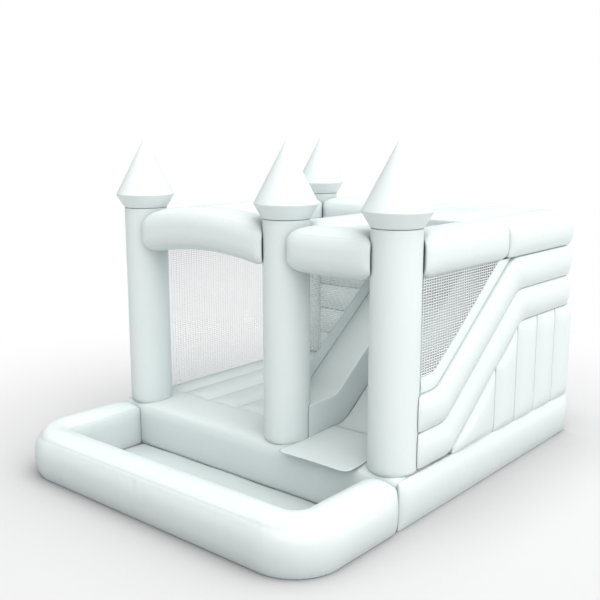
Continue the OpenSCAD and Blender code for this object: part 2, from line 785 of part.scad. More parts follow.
module zip_pull() color("SlateGray")
    translate([x_slider + slider_w/2, slider_y + pin_out, zip_z]) difference() {
        union() {
            translate([-hub_w/2, 0, 0]) rotate([0, 90, 0]) cylinder(r = hub_r, h = hub_w);
            translate([-hub_w/2, -pull_t/2, -pull_len]) cube([hub_w, pull_t, pull_len - pin_r]);
        }
        translate([-hub_w, 0, 0]) rotate([0, 90, 0]) cylinder(r = pin_r + 0.2, h = 2*hub_w);
    }

front_threshold_beam();
bounce_floor();
slide_base();
rear_base_beam();
floor_baffles();
slide_base_baffles();
threshold_baffle();
pool_wall();
pool_floor_sheet();
front_left_post();
front_middle_post();
front_right_post();
rear_left_post();
front_left_spire();
front_middle_spire();
front_right_spire();
rear_left_spire();
entrance_arch();
slide_front_beam();
left_top_beam();
right_top_beam();
tower_side_beam();
rear_top_beam();
tower_rear_beam();
divider_top_beam();
tower_roof();
roof_baffle();
right_upper_rail();
right_lower_rail();
right_wall_uprights();
right_net();
right_net_border();
divider_rail();
divider_uprights();
divider_net();
divider_net_border();
left_net();
rear_wall_tubes();
tower_rear_tubes();
tower_rear_uprights();
slide_ramp();
ramp_baffles();
slide_cover();
slide_lip();
slide_platform();
platform_baffles();
climbing_wall();
climbing_steps();
inlet_flange();
inlet_sleeve();
inlet_strap();
left_anchor();
right_anchor();
left_anchor_ring();
right_anchor_ring();
deflation_zip();
zip_slider();
zip_pull();
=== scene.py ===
# %% [markdown]
# # An inflatable bounce house with a slide and a splash pool
# Everything here is coated cloth held up by air. Each chamber is a tube or a box whose flat sides bow
# outwards between its seams, so this lesson builds one kind of surface again and again: a bowed
# outline carried along a line. Nets, thin sheets, webbing and a zip come after the chambers.

import bpy
import json
import math
import time
import numpy as np
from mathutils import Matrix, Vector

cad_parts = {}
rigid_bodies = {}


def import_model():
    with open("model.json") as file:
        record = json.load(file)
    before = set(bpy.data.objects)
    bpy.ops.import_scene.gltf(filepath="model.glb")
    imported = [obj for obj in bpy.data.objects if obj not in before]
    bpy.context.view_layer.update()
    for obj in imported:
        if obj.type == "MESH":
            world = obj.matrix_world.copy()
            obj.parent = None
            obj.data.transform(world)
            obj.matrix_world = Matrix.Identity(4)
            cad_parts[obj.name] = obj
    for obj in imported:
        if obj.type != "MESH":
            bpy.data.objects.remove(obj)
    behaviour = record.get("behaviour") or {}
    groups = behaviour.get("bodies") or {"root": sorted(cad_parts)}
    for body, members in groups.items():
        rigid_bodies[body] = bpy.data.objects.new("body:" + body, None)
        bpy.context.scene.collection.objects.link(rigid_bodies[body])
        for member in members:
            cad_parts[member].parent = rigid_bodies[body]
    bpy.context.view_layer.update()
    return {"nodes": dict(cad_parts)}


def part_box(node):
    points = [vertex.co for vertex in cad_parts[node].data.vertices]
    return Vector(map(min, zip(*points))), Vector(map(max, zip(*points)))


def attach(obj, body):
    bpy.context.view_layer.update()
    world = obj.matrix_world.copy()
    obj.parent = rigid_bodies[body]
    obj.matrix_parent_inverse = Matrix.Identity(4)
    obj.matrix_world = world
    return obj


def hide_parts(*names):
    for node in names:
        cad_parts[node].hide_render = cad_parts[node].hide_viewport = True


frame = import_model()

# %% [markdown]
# ## Sizes
# The house is measured, never typed twice: each position comes from the box of a CAD node. Only the
# sizes of the cloth itself, such as how far a side bows, are named here.

# %% Sizes
def box(node):
    """The low and the high corner of a CAD node's box."""
    lo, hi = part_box(node)
    return np.array(lo), np.array(hi)


def oblong(p, q):
    """The corners of an oblong between the two values of p and of q, anticlockwise."""
    return [(p[0], q[0]), (p[1], q[0]), (p[1], q[1]), (p[0], q[1])]


CELL = 0.045  # spacing of the cloth's grid
EDGE = 0.009  # spacing beside a seam, which keeps it crisp
SEAM_IN = 0.020  # how far a free side's seams stand in from its box
BOW = 0.044  # how far a free side bows out from its seams
ROUND = 0.7  # below 1 a side leaves its seams steeply, like a full chamber
CROWN = 0.050  # how far a top beam bows up
GAP = 0.003  # room between two chambers
TINY = 1e-9  # keeps a division by a length safe
post = {p: box(p + "_post") for p in ("front_left", "front_middle", "front_right", "rear_left")}
axis = {p: (lo + hi) / 2 for p, (lo, hi) in post.items()}
POST_R = (post["front_left"][1][0] - post["front_left"][0][0]) / 2
ramp_lo, ramp_hi = box("slide_ramp")
platform_lo, platform_hi = box("slide_platform")
RAIL_H = box("right_upper_rail")[1][2] - box("right_lower_rail")[1][2]
Z_LO = box("right_lower_rail")[0][2] - GAP / 2
Y_B1, Y_B2, Z_HI = ramp_lo[1] - GAP, platform_lo[1] - GAP, platform_hi[2]
SLOPE = (Z_HI - Z_LO) / (Y_B2 - Y_B1)
MITRE = math.tan(math.atan(SLOPE) / 2)
Z_BEAM = box("right_top_beam")[0][2]
print("post radius", round(POST_R, 3), "slope", round(math.degrees(math.atan(SLOPE)), 1), "degrees")

# %% [markdown]
# ## Camera
# A long lens from the front right corner, a little above the spires' feet and looking down. It is
# placed from the front left post, so it keeps its view if the house moves in its frame.

# %% Camera
camera = bpy.data.objects.new("camera", bpy.data.cameras.new("camera"))
bpy.context.scene.collection.objects.link(camera)
camera.data.sensor_width = 36
camera.data.lens = 51.51
camera.data.clip_end = 200
turn, down = math.radians(40.17), math.radians(10.93)
camera.location = (axis["front_left"][0] + 7.845, axis["front_left"][1] - 6.507, 3.634)
camera.rotation_euler = (math.pi / 2 - down, 0, turn)
bpy.context.scene.camera = camera

# %% [markdown]
# ## Outlines
# A chamber's outline has four seams, one at each corner, and four sides that bow out between them.
# Points crowd together beside a seam, so the subdivision that comes last leaves it crisp. Every point
# also carries its distance to the nearest seam and its place along that seam, because the finishes
# draw weld lines and puckers from them.

# %% Outlines
def steps(length, cell=CELL, edge=EDGE):
    """Stations from 0 to length, with one close to either end."""
    n = max(2, round((length - 2 * edge) / cell))
    return np.concatenate([[0], np.linspace(edge, length - edge, n + 1), [length]])


def outline(corners, bows, soft=(EDGE,) * 4):
    """Points, seam distances, free marks and side counts of a four-sided outline, anticlockwise."""
    c = np.array(corners, float)
    size = [np.linalg.norm(c[(i + 1) % 4] - c[i]) for i in range(4)]
    points, gap, free, count = [], [], [], []
    for i in range(4):
        a, b = c[i], c[(i + 1) % 4]
        long = max(size[i], TINY)
        n = len(steps(max(size[i], size[i - 2]))) - 1
        first, last = min(soft[i], size[i] / 4), min(soft[(i + 1) % 4], size[i] / 4)
        t = np.concatenate([[0], np.linspace(first, size[i] - last, n - 1)]) / long
        normal = np.array([b[1] - a[1], a[0] - b[0]]) / long
        bulge = bows[i] * (4 * t * (1 - t)) ** ROUND
        points.append(a + t[:, None] * (b - a) + normal * bulge[:, None])
        gap.append(np.minimum(t, 1 - t) * size[i])
        free.append((bows[i] != 0) * (t > 0))
        count.append(n)
    p = np.concatenate(points)
    q = p.copy()
    for k in np.cumsum([0] + count[:3]):
        q[k] = 0.5 * p[k] + 0.25 * (p[k - 1] + p[(k + 1) % len(p)])
    return q, np.concatenate(gap), np.concatenate(free), count

# %% [markdown]
# ## Skins
# A skin is what one closed chamber is made of before it becomes an object: points, faces, the two seam
# measurements and the marks of where the cloth may swell. A loft joins outlines into a tube and closes
# its two ends with bowed caps, as a real chamber's end panels are sewn in.

# %% Skins
def patch(ring, m, n, bow, out):
    """Inner points of the four-sided panel that closes a ring, and their distances to its edge."""
    low, right = ring[: m + 1], ring[m : m + n + 1]
    left = np.concatenate([ring[2 * m + n :], ring[:1]])[::-1]
    high = ring[m + n : 2 * m + n + 1][::-1]
    u, v = np.linspace(0, 1, m + 1)[1:-1, None, None], np.linspace(0, 1, n + 1)[None, 1:-1, None]
    inner = (1 - v) * low[1:-1, None] + v * high[1:-1, None]
    inner = inner + (1 - u) * left[None, 1:-1] + u * right[None, 1:-1]
    inner -= (1 - u) * (1 - v) * ring[0] + u * (1 - v) * ring[m]
    inner -= u * v * ring[m + n] + (1 - u) * v * ring[2 * m + n]
    inner += bow * 16 * u * (1 - u) * v * (1 - v) * out
    wide, tall = np.linalg.norm(ring[m] - ring[0]), np.linalg.norm(ring[m + n] - ring[m])
    edge = np.minimum(np.minimum(u, 1 - u) * wide, np.minimum(v, 1 - v) * tall)[..., 0]
    return inner.reshape(-1, 3), edge.ravel(), (u * wide + v * tall)[..., 0].ravel()


def loft(rings, gap, free, count, lengths, cap=(0.0, 0.0)):
    """A tube through (S, R, 3) rings at some lengths along it. cap is how far its two ends bow out."""
    S, R = rings.shape[:2]
    m, n = count[:2]
    gaps = np.tile(gap, S)
    ends = np.repeat(np.minimum(lengths, lengths[-1] - lengths), R)
    around = np.concatenate([[0], np.cumsum(np.linalg.norm(np.diff(rings[S // 2], axis=0), axis=1))])
    verts, seam = [rings.reshape(-1, 3)], [np.minimum(gaps, ends)]
    along = [np.where(ends < gaps, np.tile(around, S), np.repeat(lengths, R))]
    swell = [np.tile(free, S) * (ends > 0)]
    faces = []
    for s in range(S - 1):
        for r in range(R):
            nxt = (r + 1) % R
            faces.append((s * R + r, s * R + nxt, (s + 1) * R + nxt, (s + 1) * R + r))
    total = S * R
    for end, at, beside_it in ((0, 0, 1), (1, S - 1, S - 2)):
        out = rings[at].mean(0) - rings[beside_it].mean(0)
        inner, edge, place = patch(rings[at], m, n, cap[end], out / max(np.linalg.norm(out), TINY))
        verts.append(inner)
        seam.append(edge)
        along.append(place)
        swell.append(np.full(len(inner), cap[end] != 0))
        base, start = at * R, total
        total += len(inner)

        def index(i, j):
            if j == 0:
                return base + i
            if i == m:
                return base + m + j
            if j == n:
                return base + 2 * m + n - i
            if i == 0:
                return base + (2 * m + 2 * n - j) % R
            return start + (i - 1) * (n - 1) + j - 1

        for i in range(m):
            for j in range(n):
                q = (index(i, j), index(i + 1, j), index(i + 1, j + 1), index(i, j + 1))
                faces.append(q if at else q[::-1])
    return dict(v=np.concatenate(verts), f=faces, seam=np.concatenate(seam), along=np.concatenate(along),
                swell=np.concatenate(swell))


def merge(skins):
    """Several skins as one."""
    shift, faces = 0, []
    for s in skins:
        faces += [tuple(i + shift for i in f) for f in s["f"]]
        shift += len(s["v"])
    joined = {k: np.concatenate([s[k] for s in skins]) for k in ("v", "seam", "along", "swell")}
    return dict(f=faces, **joined)

# %% [markdown]
# ## From skin to object
# The object gets smooth faces that all look outwards. Its seam measurements become point attributes,
# and a vertex group pins every seam, and every side that lies against a neighbour, for the inflation.

# %% Objects
def outward(skin):
    """The skin with its faces turned so that its volume is positive."""
    tri = np.array([(f[0], f[i], f[i + 1]) for f in skin["f"] for i in range(1, len(f) - 1)])
    a, b, c = (skin["v"][tri[:, i]] for i in range(3))
    if (a * np.cross(b, c)).sum() < 0:
        skin["f"] = [f[::-1] for f in skin["f"]]
    return skin


def make(name, skin, slot, body="house", nodes=()):
    """An object of the skin, which rides on a body and stands for some CAD nodes."""
    mesh = bpy.data.meshes.new(name)
    mesh.from_pydata([tuple(map(float, v)) for v in skin["v"]], [], skin["f"])
    mesh.polygons.foreach_set("use_smooth", [True] * len(mesh.polygons))
    for key in ("seam", "along"):
        values = np.zeros(len(skin["v"]), np.float32) + skin.get(key, 0.5)
        mesh.attributes.new(key, "FLOAT", "POINT").data.foreach_set("value", values)
    o = bpy.data.objects.new(name, mesh)
    bpy.context.scene.collection.objects.link(o)
    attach(o, body)
    if nodes:
        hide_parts(*nodes)
    o["finish"] = slot
    return o


chambers = []


def chamber(node, *skins, slot="wall_vinyl", fill=0.95):
    """One air chamber, or a node's row of them, that stands for the CAD node of that name."""
    skin = merge([outward(s) for s in skins])
    o = make(node + "_skin", skin, slot, nodes=(node,))
    held = np.flatnonzero(~skin["swell"].astype(bool)).tolist()
    o.vertex_groups.new(name="held").add(held, 1.0, "REPLACE")
    chambers.append(o)
    return o


# %% [markdown]
# ## Straight tubes
# Most chambers are straight. Their sides bow less towards the ends and the whole outline draws in by up
# to two centimetres where the end panel is sewn in, which gives each tube its soft, pinched end. Where
# a beam meets a round post its end follows the post, and beside another beam it follows a diagonal.

# %% Straight tubes
PINCH, PINCH_REACH = 0.018, 0.08  # how much an end draws in, and over what length
BOW_REACH = 0.20  # how far from an end the sides bow fully
END_FULL = 0.15  # share of the bow that is left at an end
ROUND_POST = 0.004  # room between a tube's end and the post it meets


def swell_in(d, reach):
    """0 at an end, rising like a quarter circle to 1 at reach."""
    return np.sqrt(1 - (1 - np.clip(d / reach, 0, 1)) ** 2)


def shaped(corners, bows, soft, d, depth=PINCH, full=END_FULL):
    """The outline at a distance d from the nearer end, where the sides keep the share full of their bow."""
    flat = outline(corners, (0,) * 4, soft)[0]
    bowed = outline(corners, bows, soft)[0]
    centre = flat.mean(0)
    half = np.ptp(flat, axis=0) / 2
    ring = flat + (bowed - flat) * (full + (1 - full) * swell_in(d, BOW_REACH))
    return centre + (ring - centre) * (1 - depth * (1 - swell_in(d, PINCH_REACH)) / half)


def tube(run, a, b, corners, bows, ends=(None, None), cap=(0.0, 0.0), soft=(EDGE,) * 4, lift=None,
         depth=PINCH, full=(END_FULL, END_FULL)):
    """A straight tube along axis run from a to b. corners are in its other two axes."""
    _, gap, free, count = outline(corners, bows, soft)
    s = steps(b - a)
    others = [k for k in range(3) if k != run]
    rings = np.zeros((len(s), len(gap), 3))
    for i, d in enumerate(np.minimum(s, s[-1] - s)):
        r = shaped(corners, bows, soft, d, depth, full[int(s[i] > s[-1] / 2)])
        start = a if ends[0] is None else ends[0](r)
        stop = b if ends[1] is None else ends[1](r)
        rings[i][:, run] = start + (stop - start) * (s[i] / s[-1])
        rings[i][:, others] = r
        if lift:
            rings[i][:, 2] += lift(rings[i][:, run])
    return loft(rings, gap, free, count, s, cap)


def block(node, run, under=0.0, high=0.0, top=0.0, low=0.0, **rest):
    """A tube in a CAD node's box. under, high, top and low are how far its sides bow."""
    lo, hi = box(node)
    inset = SEAM_IN / BOW
    p, q = [k for k in range(3) if k != run]
    corners = oblong((lo[p] + low * inset, hi[p] - high * inset), (lo[q], hi[q] - top))
    return tube(run, lo[run], hi[run], corners, (under, high, top, low), **rest)


def beside(name, side, run, inner=(), least=0.2):
    """An end that fits round a post. inner is which sides of the tube pass another beam."""
    c = axis[name]

    def end(r):
        off = r[:, 0] - c[1 - run]
        reach = np.maximum(least, np.sqrt(np.maximum((POST_R + ROUND_POST) ** 2 - off**2, 0)))
        for k in inner:
            reach = np.maximum(reach, k * off + GAP)
        return c[run] + side * reach

    return end

# %% [markdown]
# ## The base
# Four chambers lie on the ground: the threshold at the front with its soft front edge, the bounce floor,
# the base under the slide, and the beam under the rear wall. Along the right one long outer panel covers
# the ends of two of them, so no joint shows there. It is a shallow tube of its own on the base's side.

# %% Base
STEP_EDGE = 0.045  # how soft the threshold's front top edge is
STEP_CROWN, STEP_BOW = 0.024, 0.010  # how far its top and its front bow out
STEP_PINCH, BASE_PINCH = 0.006, 0.004  # how much the ends draw in
SIDE_PANEL = 0.030  # thickness of the long outer panel's tube
SIDE_EDGE, SIDE_CROWN = 0.020, 0.006
BASE_CAP = 0.012  # how far a level chamber's left end bows out
lo, hi = box("front_threshold_beam")
y_step = lo[1] + STEP_BOW
threshold = tube(0, lo[0], hi[0] - SIDE_PANEL, oblong((y_step, hi[1]), (0, hi[2] - STEP_CROWN)),
                 (0, 0, STEP_CROWN, STEP_BOW), cap=(BASE_CAP, 0), soft=(EDGE, EDGE, EDGE, STEP_EDGE),
                 depth=STEP_PINCH)
chamber("front_threshold_beam", threshold)
base_lo, base_hi = box("slide_base")
x_side = base_hi[0] - SEAM_IN
x_joint = x_side - SIDE_PANEL
inside = tube(1, base_lo[1], base_hi[1], oblong((base_lo[0], x_joint), (0, base_hi[2])), (0,) * 4,
              depth=BASE_PINCH)
outside = tube(1, y_step, base_hi[1], oblong((x_joint + GAP, x_side), (0, base_hi[2])),
               (0, BOW, SIDE_CROWN, 0), depth=BASE_PINCH, soft=(EDGE, EDGE, SIDE_EDGE, EDGE))
chamber("slide_base", inside, outside)
chamber("rear_base_beam", block("rear_base_beam", 0, cap=(BASE_CAP, 0), depth=BASE_PINCH))
print("base side panel", round(float(base_hi[1] - lo[1]), 2), "m long")

# %% [markdown]
# ## The bounce floor
# Inner baffles hold the floor's top down along four seams, so the air pushes it up into five round
# ridges between them. The ridges die away at both ends, where the floor is sewn to flat panels.

# %% Bounce floor
RIDGE_H, RIDGE_REACH = 0.036, 0.12  # height of the ridges and how soon they reach it
NARROW = 0.347  # width of the ridge under the left net
FLOOR_PINCH, FLOOR_BOW = 0.006, 0.015
lo, hi = box("bounce_floor")
pitch = (hi[0] - lo[0] - NARROW) / 4
floor_seams = [lo[0]] + [lo[0] + NARROW + i * pitch for i in range(5)]
xs, gaps, rise = [], [], []
for a, b in zip(floor_seams, floor_seams[1:]):
    t = steps(b - a)[: None if b == floor_seams[-1] else -1]
    xs.append(a + t)
    gaps.append(np.minimum(t, b - a - t))
    rise.append((4 * t * (b - a - t) / (b - a) ** 2) ** ROUND * RIDGE_H * min(1, (b - a) / pitch))
xs, gaps, rise = map(np.concatenate, (xs, gaps, rise))
z_ridge = hi[2] - RIDGE_H
side_z = steps(z_ridge)
side_bow = FLOOR_BOW * 4 * (side_z / z_ridge) * (1 - side_z / z_ridge)
s = steps(hi[1] - lo[1])
rings = []
for y, d in zip(lo[1] + s, np.minimum(s, s[-1] - s)):
    top = z_ridge - FLOOR_PINCH * (1 - swell_in(d, PINCH_REACH))
    z = side_z * top / z_ridge
    under = np.stack([xs, np.zeros(len(xs))], 1)[:-1]
    right = np.stack([np.full(len(z), hi[0]), z], 1)[:-1]
    over = np.stack([xs, top + rise * swell_in(d, RIDGE_REACH)], 1)[::-1][:-1]
    left = np.stack([lo[0] - side_bow * swell_in(d, BOW_REACH), z], 1)[::-1][:-1]
    ring = np.concatenate([under, right, over, left])
    rings.append(np.insert(ring, 1, y, axis=1))
side_gap = np.minimum(side_z, side_z[-1] - side_z)
under_gap, over_gap = np.minimum(xs - xs[0], xs[-1] - xs)[:-1], gaps[::-1][:-1]
gap = np.concatenate([under_gap, side_gap[:-1], over_gap, side_gap[::-1][:-1]])
count = [len(xs) - 1, len(side_z) - 1]
free = np.concatenate([np.zeros(sum(count)), over_gap > 0, side_gap[::-1][:-1] > 0])
chamber("bounce_floor", loft(np.array(rings), gap, free, count, s), slot="slide_vinyl")
print("floor ridges", len(floor_seams) - 1)

# %% [markdown]
# ## The splash pool
# The pool wall is one tube bent into a U. Its outline stays the same and only turns at the two round
# corners, where the seam between top and side softens. A thin welded sheet is its floor.

# %% Pool wall
POOL_W, POOL_H = 0.350, 0.445  # the tube between its seams
POOL_CROWN, POOL_BOW, INNER_BOW = 0.070, 0.054, 0.012
CORNER_R = 0.480  # outer radius of a turn
TOP_SOFT, TURN_SOFT, TURN_SHARE = EDGE + 0.012, 0.05, 0.8  # the top seams soften in the turns
TURN_RINGS, FRONT_RINGS, ARM_RINGS = 18, 67, 20
pool_lo, pool_hi = box("pool_wall")
x_pool, y_pool, y_arm = pool_hi[0] - SEAM_IN, pool_lo[1] + SEAM_IN, pool_hi[1]
arm = y_arm - y_pool - CORNER_R
quarter = CORNER_R * math.pi / 2
marks = np.cumsum([arm, quarter, 2 * (x_pool - CORNER_R), quarter])
stations = [steps(arm)[:-2]]
for a, b, n in zip(marks, marks[1:], (TURN_RINGS, FRONT_RINGS, TURN_RINGS)):
    stations.append(np.linspace(a, b, n, endpoint=False))
stations.append(marks[3] + np.append(np.linspace(0, arm - EDGE, ARM_RINGS), arm))
s = np.concatenate(stations)


def pool_line(t):
    """The pool's outer line: a place and the direction outwards."""
    if t < marks[0]:
        return (x_pool, y_arm - t), (1, 0)
    if t < marks[1]:
        a = -(t - marks[0]) / CORNER_R
        c = (x_pool - CORNER_R, y_pool + CORNER_R)
    elif t < marks[2]:
        return (x_pool - CORNER_R - (t - marks[1]), y_pool), (0, -1)
    elif t < marks[3]:
        a = -math.pi / 2 - (t - marks[2]) / CORNER_R
        c = (-x_pool + CORNER_R, y_pool + CORNER_R)
    else:
        return (-x_pool, y_pool + CORNER_R + t - marks[3]), (-1, 0)
    return (c[0] + CORNER_R * math.cos(a), c[1] + CORNER_R * math.sin(a)), (math.cos(a), math.sin(a))


corners = oblong((-POOL_W, 0), (0, POOL_H))
bows = (0, POOL_BOW, POOL_CROWN, INNER_BOW)
_, gap, free, count = outline(corners, bows)
rings = []
for t in s:
    turning = sum(max(0, 1 - abs(t - (marks[k] + quarter / 2)) / (TURN_SHARE * quarter)) for k in (0, 2))
    soft = TOP_SOFT + TURN_SOFT * turning
    r = shaped(corners, bows, (EDGE, EDGE, soft, soft), min(t, s[-1] - t))
    (x, y), (out_x, out_y) = pool_line(t)
    rings.append(np.stack([x + r[:, 0] * out_x, y + r[:, 0] * out_y, r[:, 1]], 1))
chamber("pool_wall", loft(np.array(rings), gap, free, count, s))
print("pool wall", round(float(s[-1]), 2), "m round")

# %% [markdown]
# ## Posts and spires
# A post is a round column with a rounded foot, and its spire is a flared collar under a cone. Both are
# turned on a lathe: one outline is carried round the post's axis. The collar's rim is a sharp weld, so
# its points sit close together.

# %% Lathe
SIDES = 40
WELD_PITCH = 0.25  # how fast the place along a seam grows round a turned skin


def turned(centre, profile, seam_z=()):
    """A skin turned from (radius, height) points; the first and last lie on the axis."""
    p = np.array(profile, float)
    a = np.linspace(0, 2 * math.pi, SIDES, endpoint=False)
    body = p[1:-1]
    rings = np.stack([centre[0] + body[:, :1] * np.cos(a), centre[1] + body[:, :1] * np.sin(a),
                      np.repeat(body[:, 1:], SIDES, 1)], -1)
    v = [rings.reshape(-1, 3), [[centre[0], centre[1], p[0, 1]], [centre[0], centre[1], p[-1, 1]]]]
    k, n = len(body), SIDES
    f = [(i * n + j, i * n + (j + 1) % n, (i + 1) * n + (j + 1) % n, (i + 1) * n + j)
         for i in range(k - 1) for j in range(n)]
    f += [(k * n, (j + 1) % n, j) for j in range(n)]
    f += [(k * n + 1, (k - 1) * n + j, (k - 1) * n + (j + 1) % n) for j in range(n)]
    seam = np.repeat(np.min([np.abs(body[:, 1] - z) for z in seam_z] + [np.full(k, 0.5)], axis=0), n)
    return dict(v=np.concatenate(v), f=f, seam=np.concatenate([seam, [0.2, 0.2]]),
                along=np.concatenate([np.tile(a * WELD_PITCH, k), [0, 0]]), swell=np.zeros(k * n + 2))


def rounded(r, z, size, start, stop, n=6):
    """Points of a quarter circle whose centre is (r, z), from one angle to another in degrees."""
    return [(r + size * math.cos(t), z + size * math.sin(t)) for t in np.radians(np.linspace(start, stop, n))]


# %% Posts
FOOT_R, HEAD_R = 0.055, 0.003  # radius of a post's foot and of its head
SUNK = 0.028  # how far a foot presses into the cloth below it
INNER_RING, HEAD_RING = 0.05, 0.04  # how far in a ring of points lies on the flat ends
for name, (lo, hi) in post.items():
    z0, z1 = lo[2] - SUNK, hi[2]
    foot = rounded(POST_R - FOOT_R, z0 + FOOT_R, FOOT_R, -90, 0)
    column = [(POST_R, z) for z in np.linspace(z0 + FOOT_R + INNER_RING, z1 - INNER_RING, 24)]
    head = rounded(POST_R - HEAD_R, z1 - HEAD_R, HEAD_R, 0, 90, 3)
    profile = [(0, z0), (POST_R - FOOT_R - INNER_RING, z0), *foot, *column, *head,
               (POST_R - HEAD_RING, z1), (0, z1)]
    chamber(name + "_post", turned(axis[name], profile, (z1,)))

# %% Spires
COLLAR_H = 0.148
RIM_MORE, TIP_MORE = 0.007, 0.022  # what the last subdivision takes off a sharp rim and tip
UP_CONE = (0.012, *np.linspace(0.06, 0.94, 12), 0.975, 0.992)  # shares of the way to the tip
UP_COLLAR = (0.04, 0.3, 0.6, 0.9, 0.965)
for name in post:
    lo, hi = box(name + "_spire")
    rim = (hi[0] - lo[0]) / 2 + RIM_MORE
    z_rim, tip = lo[2] + COLLAR_H, hi[2] + TIP_MORE
    cone = [(rim * (1 - t), z_rim + (tip - z_rim) * t) for t in UP_CONE]
    flare = [(POST_R + (rim - POST_R) * t, lo[2] + COLLAR_H * t) for t in UP_COLLAR]
    profile = [(0, lo[2]), (POST_R - HEAD_RING, lo[2]), (POST_R - 0.002, lo[2]), *flare, (rim, z_rim), *cone,
               (0, tip)]
    chamber(name + "_spire", turned(axis[name], profile, (lo[2], z_rim)), slot="spire_vinyl", fill=1.0)
print("posts and spires", len(post) * 2)

# %% [markdown]
# ## Top beams
# The beams hang between the posts. The one over the entrance is an arch, so its tube is lifted along
# a circle. The others are straight, with bowed fronts and tops.

# %% Top beams
BEAM_H = 0.360  # the arch's tube between its seams
BEAM_SOFT = (0.07, 0.07, 0.05, 0.07)  # how soft a beam's four edges are
REAR_SOFT = (0.02, 0.02, 0.05, 0.07)
HANG = 0.048  # how far a beam's underside bows down
HIDDEN = 0.125  # how near a post's axis a beam's outer edge goes on where the post covers it
TUCKED = 0.13  # the same for the right beam
IN_POST = 0.2  # how far from a post's axis the arch starts
REAR_CAP, REAR_FULL = 0.045, 0.9  # a free rear end bows out and keeps its sides' bow
half = BOW / 2
lo, hi = box("entrance_arch")
x0, x1 = axis["front_left"][0] + IN_POST, axis["front_middle"][0] - IN_POST
ARCH_RISE = hi[2] - lo[2] - BEAM_H - CROWN
arch_r = ((x1 - x0) ** 2 / 4 + ARCH_RISE**2) / (2 * ARCH_RISE)


def arch(x):
    """How far the arch's circle lifts its tube at x."""
    off = np.maximum(x, x0) - (x0 + x1) / 2
    return np.sqrt(arch_r**2 - off**2) - (arch_r - ARCH_RISE)


def beam(node, run, ends, under=HANG, high=half, low=half):
    """A top beam between posts or walls. under, high and low are how far its sides bow."""
    chamber(node, block(node, run, under, high=high, top=CROWN, low=low, soft=BEAM_SOFT, ends=ends))


y_front = axis["front_left"][1]
arch_outline = oblong((y_front - POST_R, y_front + POST_R), (Z_BEAM, Z_BEAM + BEAM_H))
arch_ends = (beside("front_left", 1, 0, (1,)), beside("front_middle", -1, 0, (1,), HIDDEN))
chamber("entrance_arch", tube(0, x0, x1, arch_outline, (HANG, half, CROWN, half), ends=arch_ends, lift=arch,
                              soft=BEAM_SOFT))
beam("slide_front_beam", 0, (beside("front_middle", 1, 0, (1,)), beside("front_right", -1, 0, (1,), HIDDEN)))
beam("left_top_beam", 1, (beside("front_left", 1, 1, (1,)), beside("rear_left", -1, 1, (1,))))
beam("right_top_beam", 1, (beside("front_right", 1, 1, (-1,), TUCKED), None), low=0)
chamber("tower_side_beam", block("tower_side_beam", 1, high=BOW, top=CROWN, cap=(0, REAR_CAP), soft=REAR_SOFT,
                                 full=(END_FULL, REAR_FULL)))
beam("rear_top_beam", 0, (beside("rear_left", 1, 0, (-1,)), None), under=0)
chamber("tower_rear_beam", block("tower_rear_beam", 0, high=half, top=CROWN))
beam("divider_top_beam", 1, (beside("front_middle", 1, 1, (-1, 1)), None), high=0)
chamber("tower_roof", block("tower_roof", 0, top=1.5 * CROWN))
print("arch rises", round(float(ARCH_RISE), 3), "m")

# %% [markdown]
# ## Bent side tubes
# Two tubes run along the right wall: level, up beside the slide, and level again at its top. A third runs
# under the net between slide and floor. Each line of such a tube is a path with two bends, and the bends
# of all lines lie on two slanted planes, so the tubes stay side by side. Each bend is a short soft curve.

# %% Paths
BEND = 0.085  # length of a bend's curve on either side of its corner


def bends(q):
    """The lower and the upper corner of the line q above the lowest seam."""
    return (Y_B1 - q * MITRE, Z_LO + q), (Y_B2 - q * MITRE, Z_HI + q)


def unit(v):
    return v / np.maximum(np.linalg.norm(v, axis=1)[:, None], TINY)


def bent(p, away, corner, before, after):
    """p, or a point of the curve round a corner where p is less than BEND away from it."""
    g = np.clip((away + BEND) / (2 * BEND), 0, 1)
    first, last = corner + BEND * before, corner + BEND * after
    return np.where(abs(away) < BEND, (1 - g) ** 2 * first + 2 * g * (1 - g) * corner + g**2 * last, p)


def along_path(corners, parts):
    """Stations (N, R, 2) of R paths. corners are (R, 2) arrays, parts the shares along each length."""
    out = []
    for j, t in enumerate(parts):
        a, b = corners[j], corners[j + 1]
        long = np.linalg.norm(b - a, axis=1)[:, None]
        u = unit(b - a)
        for k in t:
            p = a + (b - a) * k
            if j > 0:
                p = bent(p, k * long, a, unit(corners[j - 1] - a), u)
            if j < len(parts) - 1:
                p = bent(p, (k - 1) * long, b, -u, unit(corners[j + 2] - b))
            out.append(p)
    return np.array(out)


def shares(lengths):
    """Stations along each length of a path, as shares of it, without doubles at the corners."""
    parts = []
    for j, long in enumerate(lengths):
        t = steps(long) / long
        if j > 0:
            t = np.delete(t, 1)
        if j < len(lengths) - 1:
            t = np.delete(t, -2)[:-1]
        parts.append(t)
    return parts


# %% Side tubes
RAIL_START = 0.22  # how far behind a post's axis a bent tube shows
RAIL_LEAST = 0.045  # how near the post's axis it goes on beside the post
RAIL_PINCH, RAIL_CAP = 0.006, 0.050


def rail_corners(q, y_start, y_end, level):
    """The path's corners for heights q above the lowest seam. level is True if it goes on past the slope."""
    b1, b2 = (np.stack(b, 1) for b in bends(q))
    first = np.stack([y_start + 0 * q, Z_LO + q], 1)
    if level:
        return [first, b1, b2, np.stack([y_end + 0 * q, Z_HI + q], 1)]
    y = np.minimum(y_end, b2[:, 0])
    return [first, b1, np.stack([y, Z_LO + q + (y - b1[:, 0]) * SLOPE], 1)]


